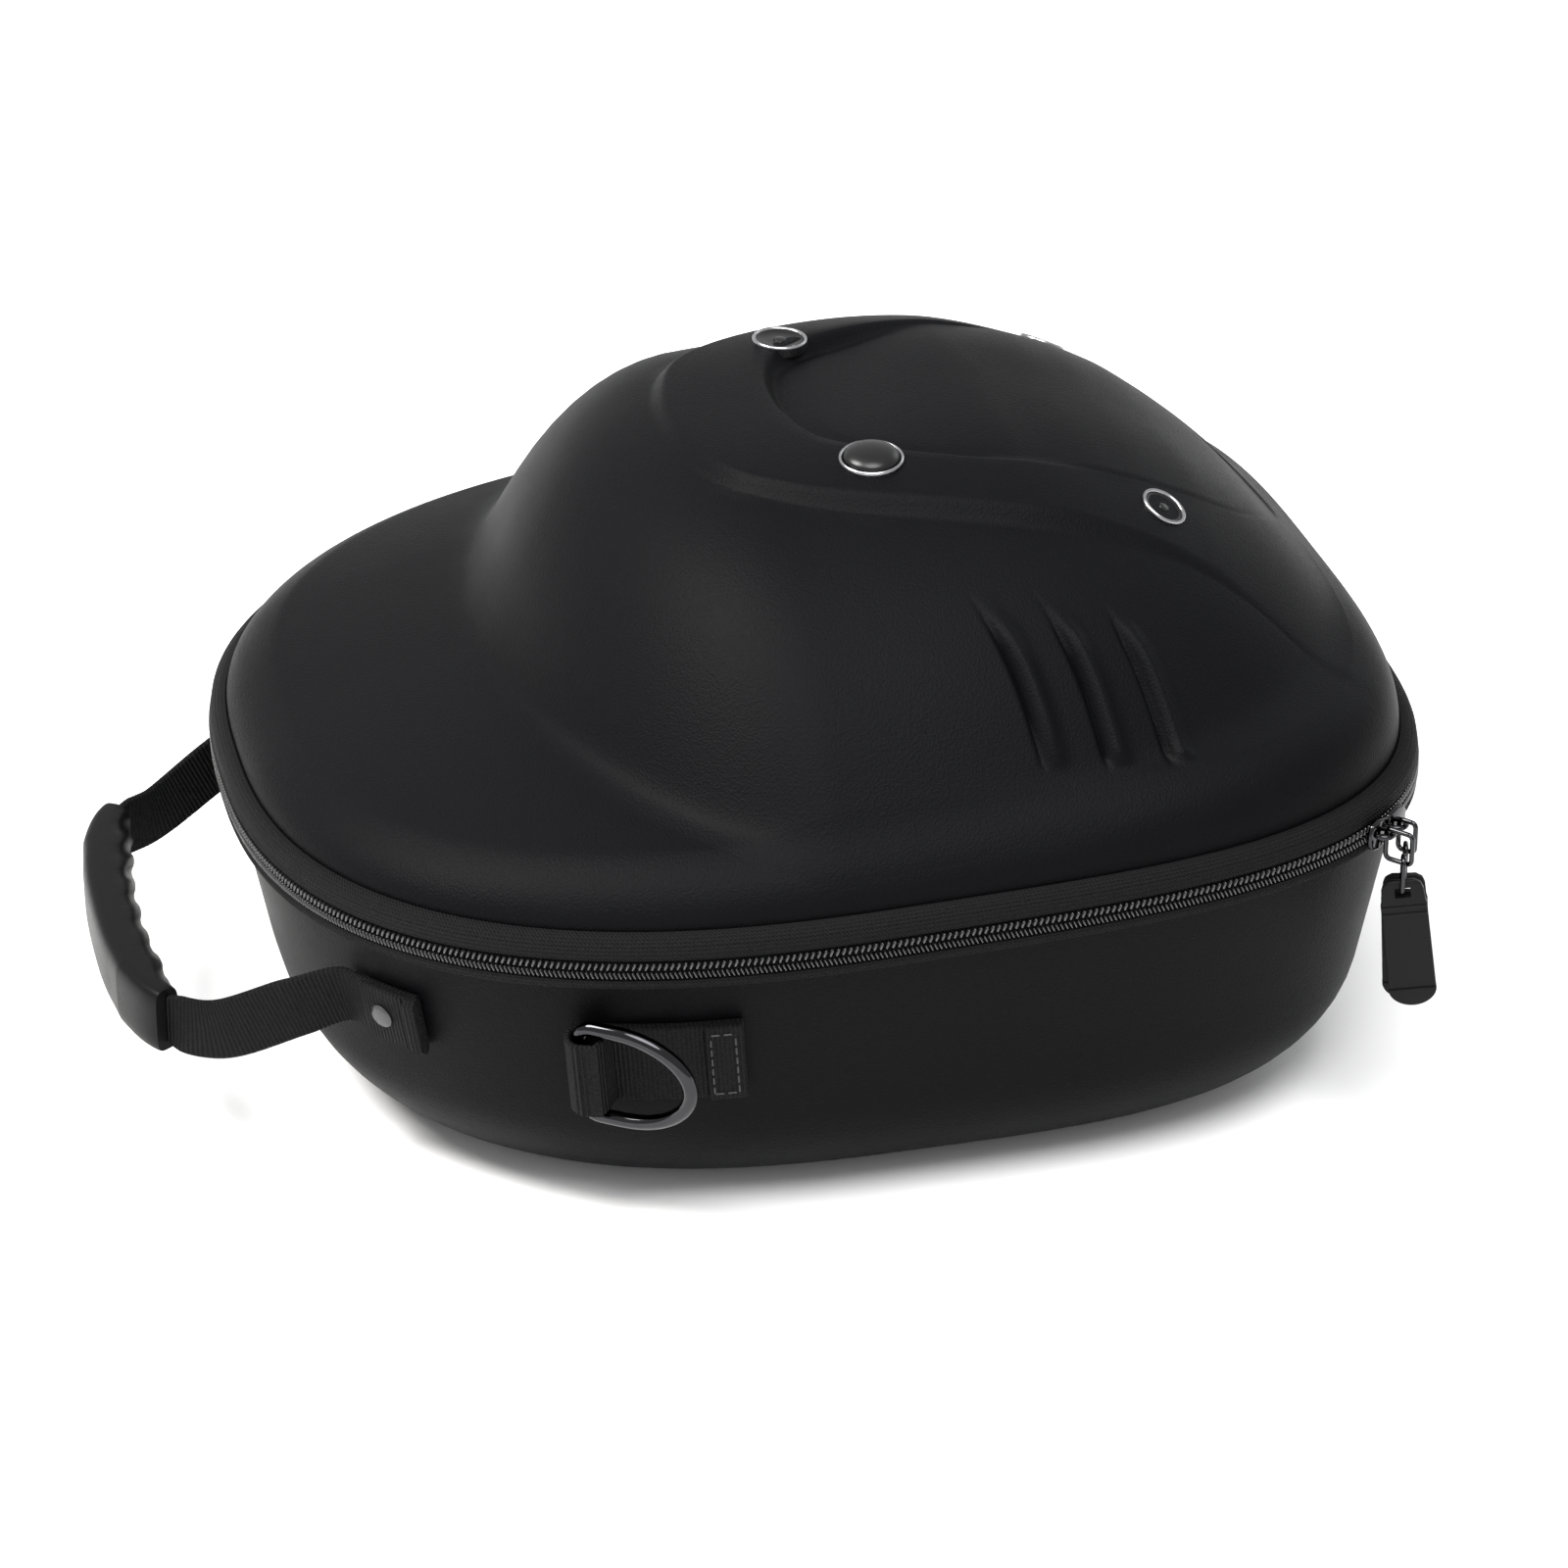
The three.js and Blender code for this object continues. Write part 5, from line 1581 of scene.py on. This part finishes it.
def make_slider(word, way):
    half = slider_height / 2
    length = slider_length
    lower = [(gap / 2, -half * 0.8), (length * 0.55, -half),
             (length * 0.85, -half * 0.85), (length, -half * 0.4)]
    outline = [(way * x, z) for x, z in lower + [(x, -z) for x, z in lower[::-1]]]
    body = settle_slider(plate(f"slider_{word}_plate", outline, slider_plate, slider_face, 0.5, 3))
    finish_piece(body, "base", black_plate, ["slider_" + word])
    foot = slider_face + slider_plate - bail_root
    middle = way * pull_spread / 2
    line = [(middle - bail_span / 2 * math.cos(t), foot + (bail_top - foot) * math.sin(t) ** 0.7, 0)
            for t in np.linspace(0, math.pi, 25)]
    bail = settle_slider(wire_piece(f"slider_{word}_bail", line, bail_wire / 2, closed=False, sides=4))
    finish_piece(bail, "base", black_plate, smooth=60)
    return body


make_slider("rear", -1)
make_slider("brim", 1)
print("sliders made")

# %% [markdown]
# On each bail hangs a wire link, in the link a small ring, and in the ring the pull. The ring and the
# pull are twisted, so that the broad side shows from the brim's side. A row for each pull says on
# which side of the corner it hangs, and holds shares of the link's reach and drop, of the ring's
# place in the link and its drop, and of the pull's tilt.

# %% Links and rings
link_reach = 8.2
link_drop = 7.2
pull_ring_drop = 10.2
pull_ring_half = 2.1
pull_turn = math.radians(32)
pull_tilt = math.radians(8)
link_top = bail_wire / 2 + wire_room + link_wire / 2
hangers = {
    "rear": {"way": -1, "reach": 0.64, "drop": 1.0, "ring_at": 0.3, "ring_drop": 1.2, "tilt": 0.5},
    "brim": {"way": 1, "reach": 1.0, "drop": 1.0, "ring_at": 0.7, "ring_drop": 1.0, "tilt": 1.0},
}


def rounded_loop(left, right, low, high, radius=1.5):
    """A rectangle with round corners, as pairs of numbers."""
    line = []
    for x, z, start in ((right, high, 0), (left, high, 90), (left, low, 180), (right, low, 270)):
        middle_x = x + radius * (1 if x == left else -1)
        middle_z = z + radius * (1 if z == low else -1)
        for t in np.radians(np.linspace(start, start + 90, 7)):
            line.append((middle_x + radius * math.cos(t), middle_z + radius * math.sin(t)))
    return line


def ring_heights(hanger):
    high = -hanger["drop"] * link_drop + link_wire + wire_room
    return high - hanger["ring_drop"] * pull_ring_drop, high


def twist(piece, hanger, quarter=0.0):
    """Turns a piece in the link's ring to the way the pull hangs, and puts it on the slider."""
    place = Vector((hanger["way"] * pull_spread / 2, inner_arm + hanger["ring_at"] * link_reach, 0)) * mm
    piece.data.transform(Matrix.Translation(place) @ Matrix.Rotation(pull_turn + quarter, 4, "Z"))
    return settle_slider(piece)


def make_links(word, hanger):
    aside = hanger["way"] * pull_spread / 2
    outer_arm = inner_arm + hanger["reach"] * link_reach
    loop = rounded_loop(inner_arm, outer_arm, -hanger["drop"] * link_drop, link_top)
    node = "slider_link_" + word
    link = wire_piece(node + "_wire", [(aside, out, z) for out, z in loop], link_wire / 2, sides=4)
    finish_piece(settle_slider(link), "base", black_plate, [node], smooth=60)
    loop = rounded_loop(-pull_ring_half, pull_ring_half, *ring_heights(hanger))
    node = "pull_ring_" + word
    ring = wire_piece(node + "_wire", [(x, 0, z) for x, z in loop], link_wire / 2, sides=4)
    finish_piece(twist(ring, hanger), "base", black_plate, [node], smooth=60)


for word, hanger in hangers.items():
    make_links(word, hanger)
print("links and rings made")

# %% [markdown]
# The pull is a flat tab: a narrower cap with a slot, two raised lines under it, and a long smooth
# blade whose end is folded over. It is drawn flat with the slot's upper edge at zero, leaned over a
# little, and hung in its ring.

# %% Pulls
pull_width = 13.2
pull_length = 39.0
pull_thickness = 1.8
slot_under_top = 2.2
slot_size = (4.4, 3.0)
line_heights = (-5.4, -7.6)
line_width = 1.1
line_from_edge = 0.3


def round_end(half):
    """The blade's round end, from the right to the left."""
    end = pull_length - slot_under_top - 0.8 * half
    return [(half * math.cos(t), -end - half * 0.8 * math.sin(t)) for t in np.linspace(0, math.pi, 17)]


def pull_outline():
    half = pull_width / 2
    cap = [(half * 0.5, slot_under_top), (half * 0.78, 1.2), (half * 0.88, -0.6), (half * 0.92, -4.0),
           (half * 0.97, -5.2)]
    return [(-half * 0.5, slot_under_top), *cap, *round_end(half), *[(-x, z) for x, z in cap[:0:-1]]]


def leaned(points, hanger):
    c, s = math.cos(pull_tilt * hanger["tilt"]), math.sin(pull_tilt * hanger["tilt"])
    return [(x * c - z * s, x * s + z * c) for x, z in points]


def hang(piece, hanger):
    low, _ = ring_heights(hanger)
    piece.data.transform(Matrix.Translation((0, 0, (low + link_wire / 2 + wire_room) * mm)))
    return twist(piece, hanger, math.pi / 2)


def cut_slot(blade, hanger):
    """Cuts the slot that the ring passes through."""
    bpy.ops.object.select_all(action="DESELECT")
    bpy.ops.mesh.primitive_cube_add(size=1, location=(0, 0, 0))
    tool = bpy.context.object
    tool.data.transform(Matrix.Diagonal((slot_size[0] * mm, 4 * pull_thickness * mm, slot_size[1] * mm, 1)))
    tool.data.transform(Matrix.Translation((0, 0, -slot_size[1] / 2 * mm)))
    tool.data.transform(Matrix.Rotation(-pull_tilt * hanger["tilt"], 4, "Y"))
    cut = blade.modifiers.new("slot", "BOOLEAN")
    cut.object = tool
    cut.operation = "DIFFERENCE"
    select_only(blade)
    bpy.ops.object.modifier_apply(modifier=cut.name)
    bpy.data.objects.remove(tool)


def raised(name, points, hanger, proud):
    """A flat shape that stands a little proud of both sides of the pull."""
    depth = pull_thickness + 2 * proud
    piece = plate(name, leaned(points, hanger), depth, -depth / 2, 0.3, 2)
    return finish_piece(hang(piece, hanger), "base", pull_plastic)


def make_pull(word, hanger):
    outline = leaned(pull_outline(), hanger)
    blade = plate(f"pull_{word}_blade", outline, pull_thickness, -pull_thickness / 2, 0.45, 3)
    cut_slot(blade, hanger)
    finish_piece(hang(blade, hanger), "base", pull_plastic, ["pull_tab_" + word])
    half = pull_width / 2 - line_from_edge
    for k, z in enumerate(line_heights):
        bar = [(-half, z), (-half, z - line_width), (half, z - line_width), (half, z)]
        raised(f"pull_{word}_line_{k + 1}", bar, hanger, 0.35)
    return raised(f"pull_{word}_fold", round_end(pull_width / 2 + 0.1), hanger, 0.45)


for word, hanger in hangers.items():
    make_pull(word, hanger)
print("pulls made")
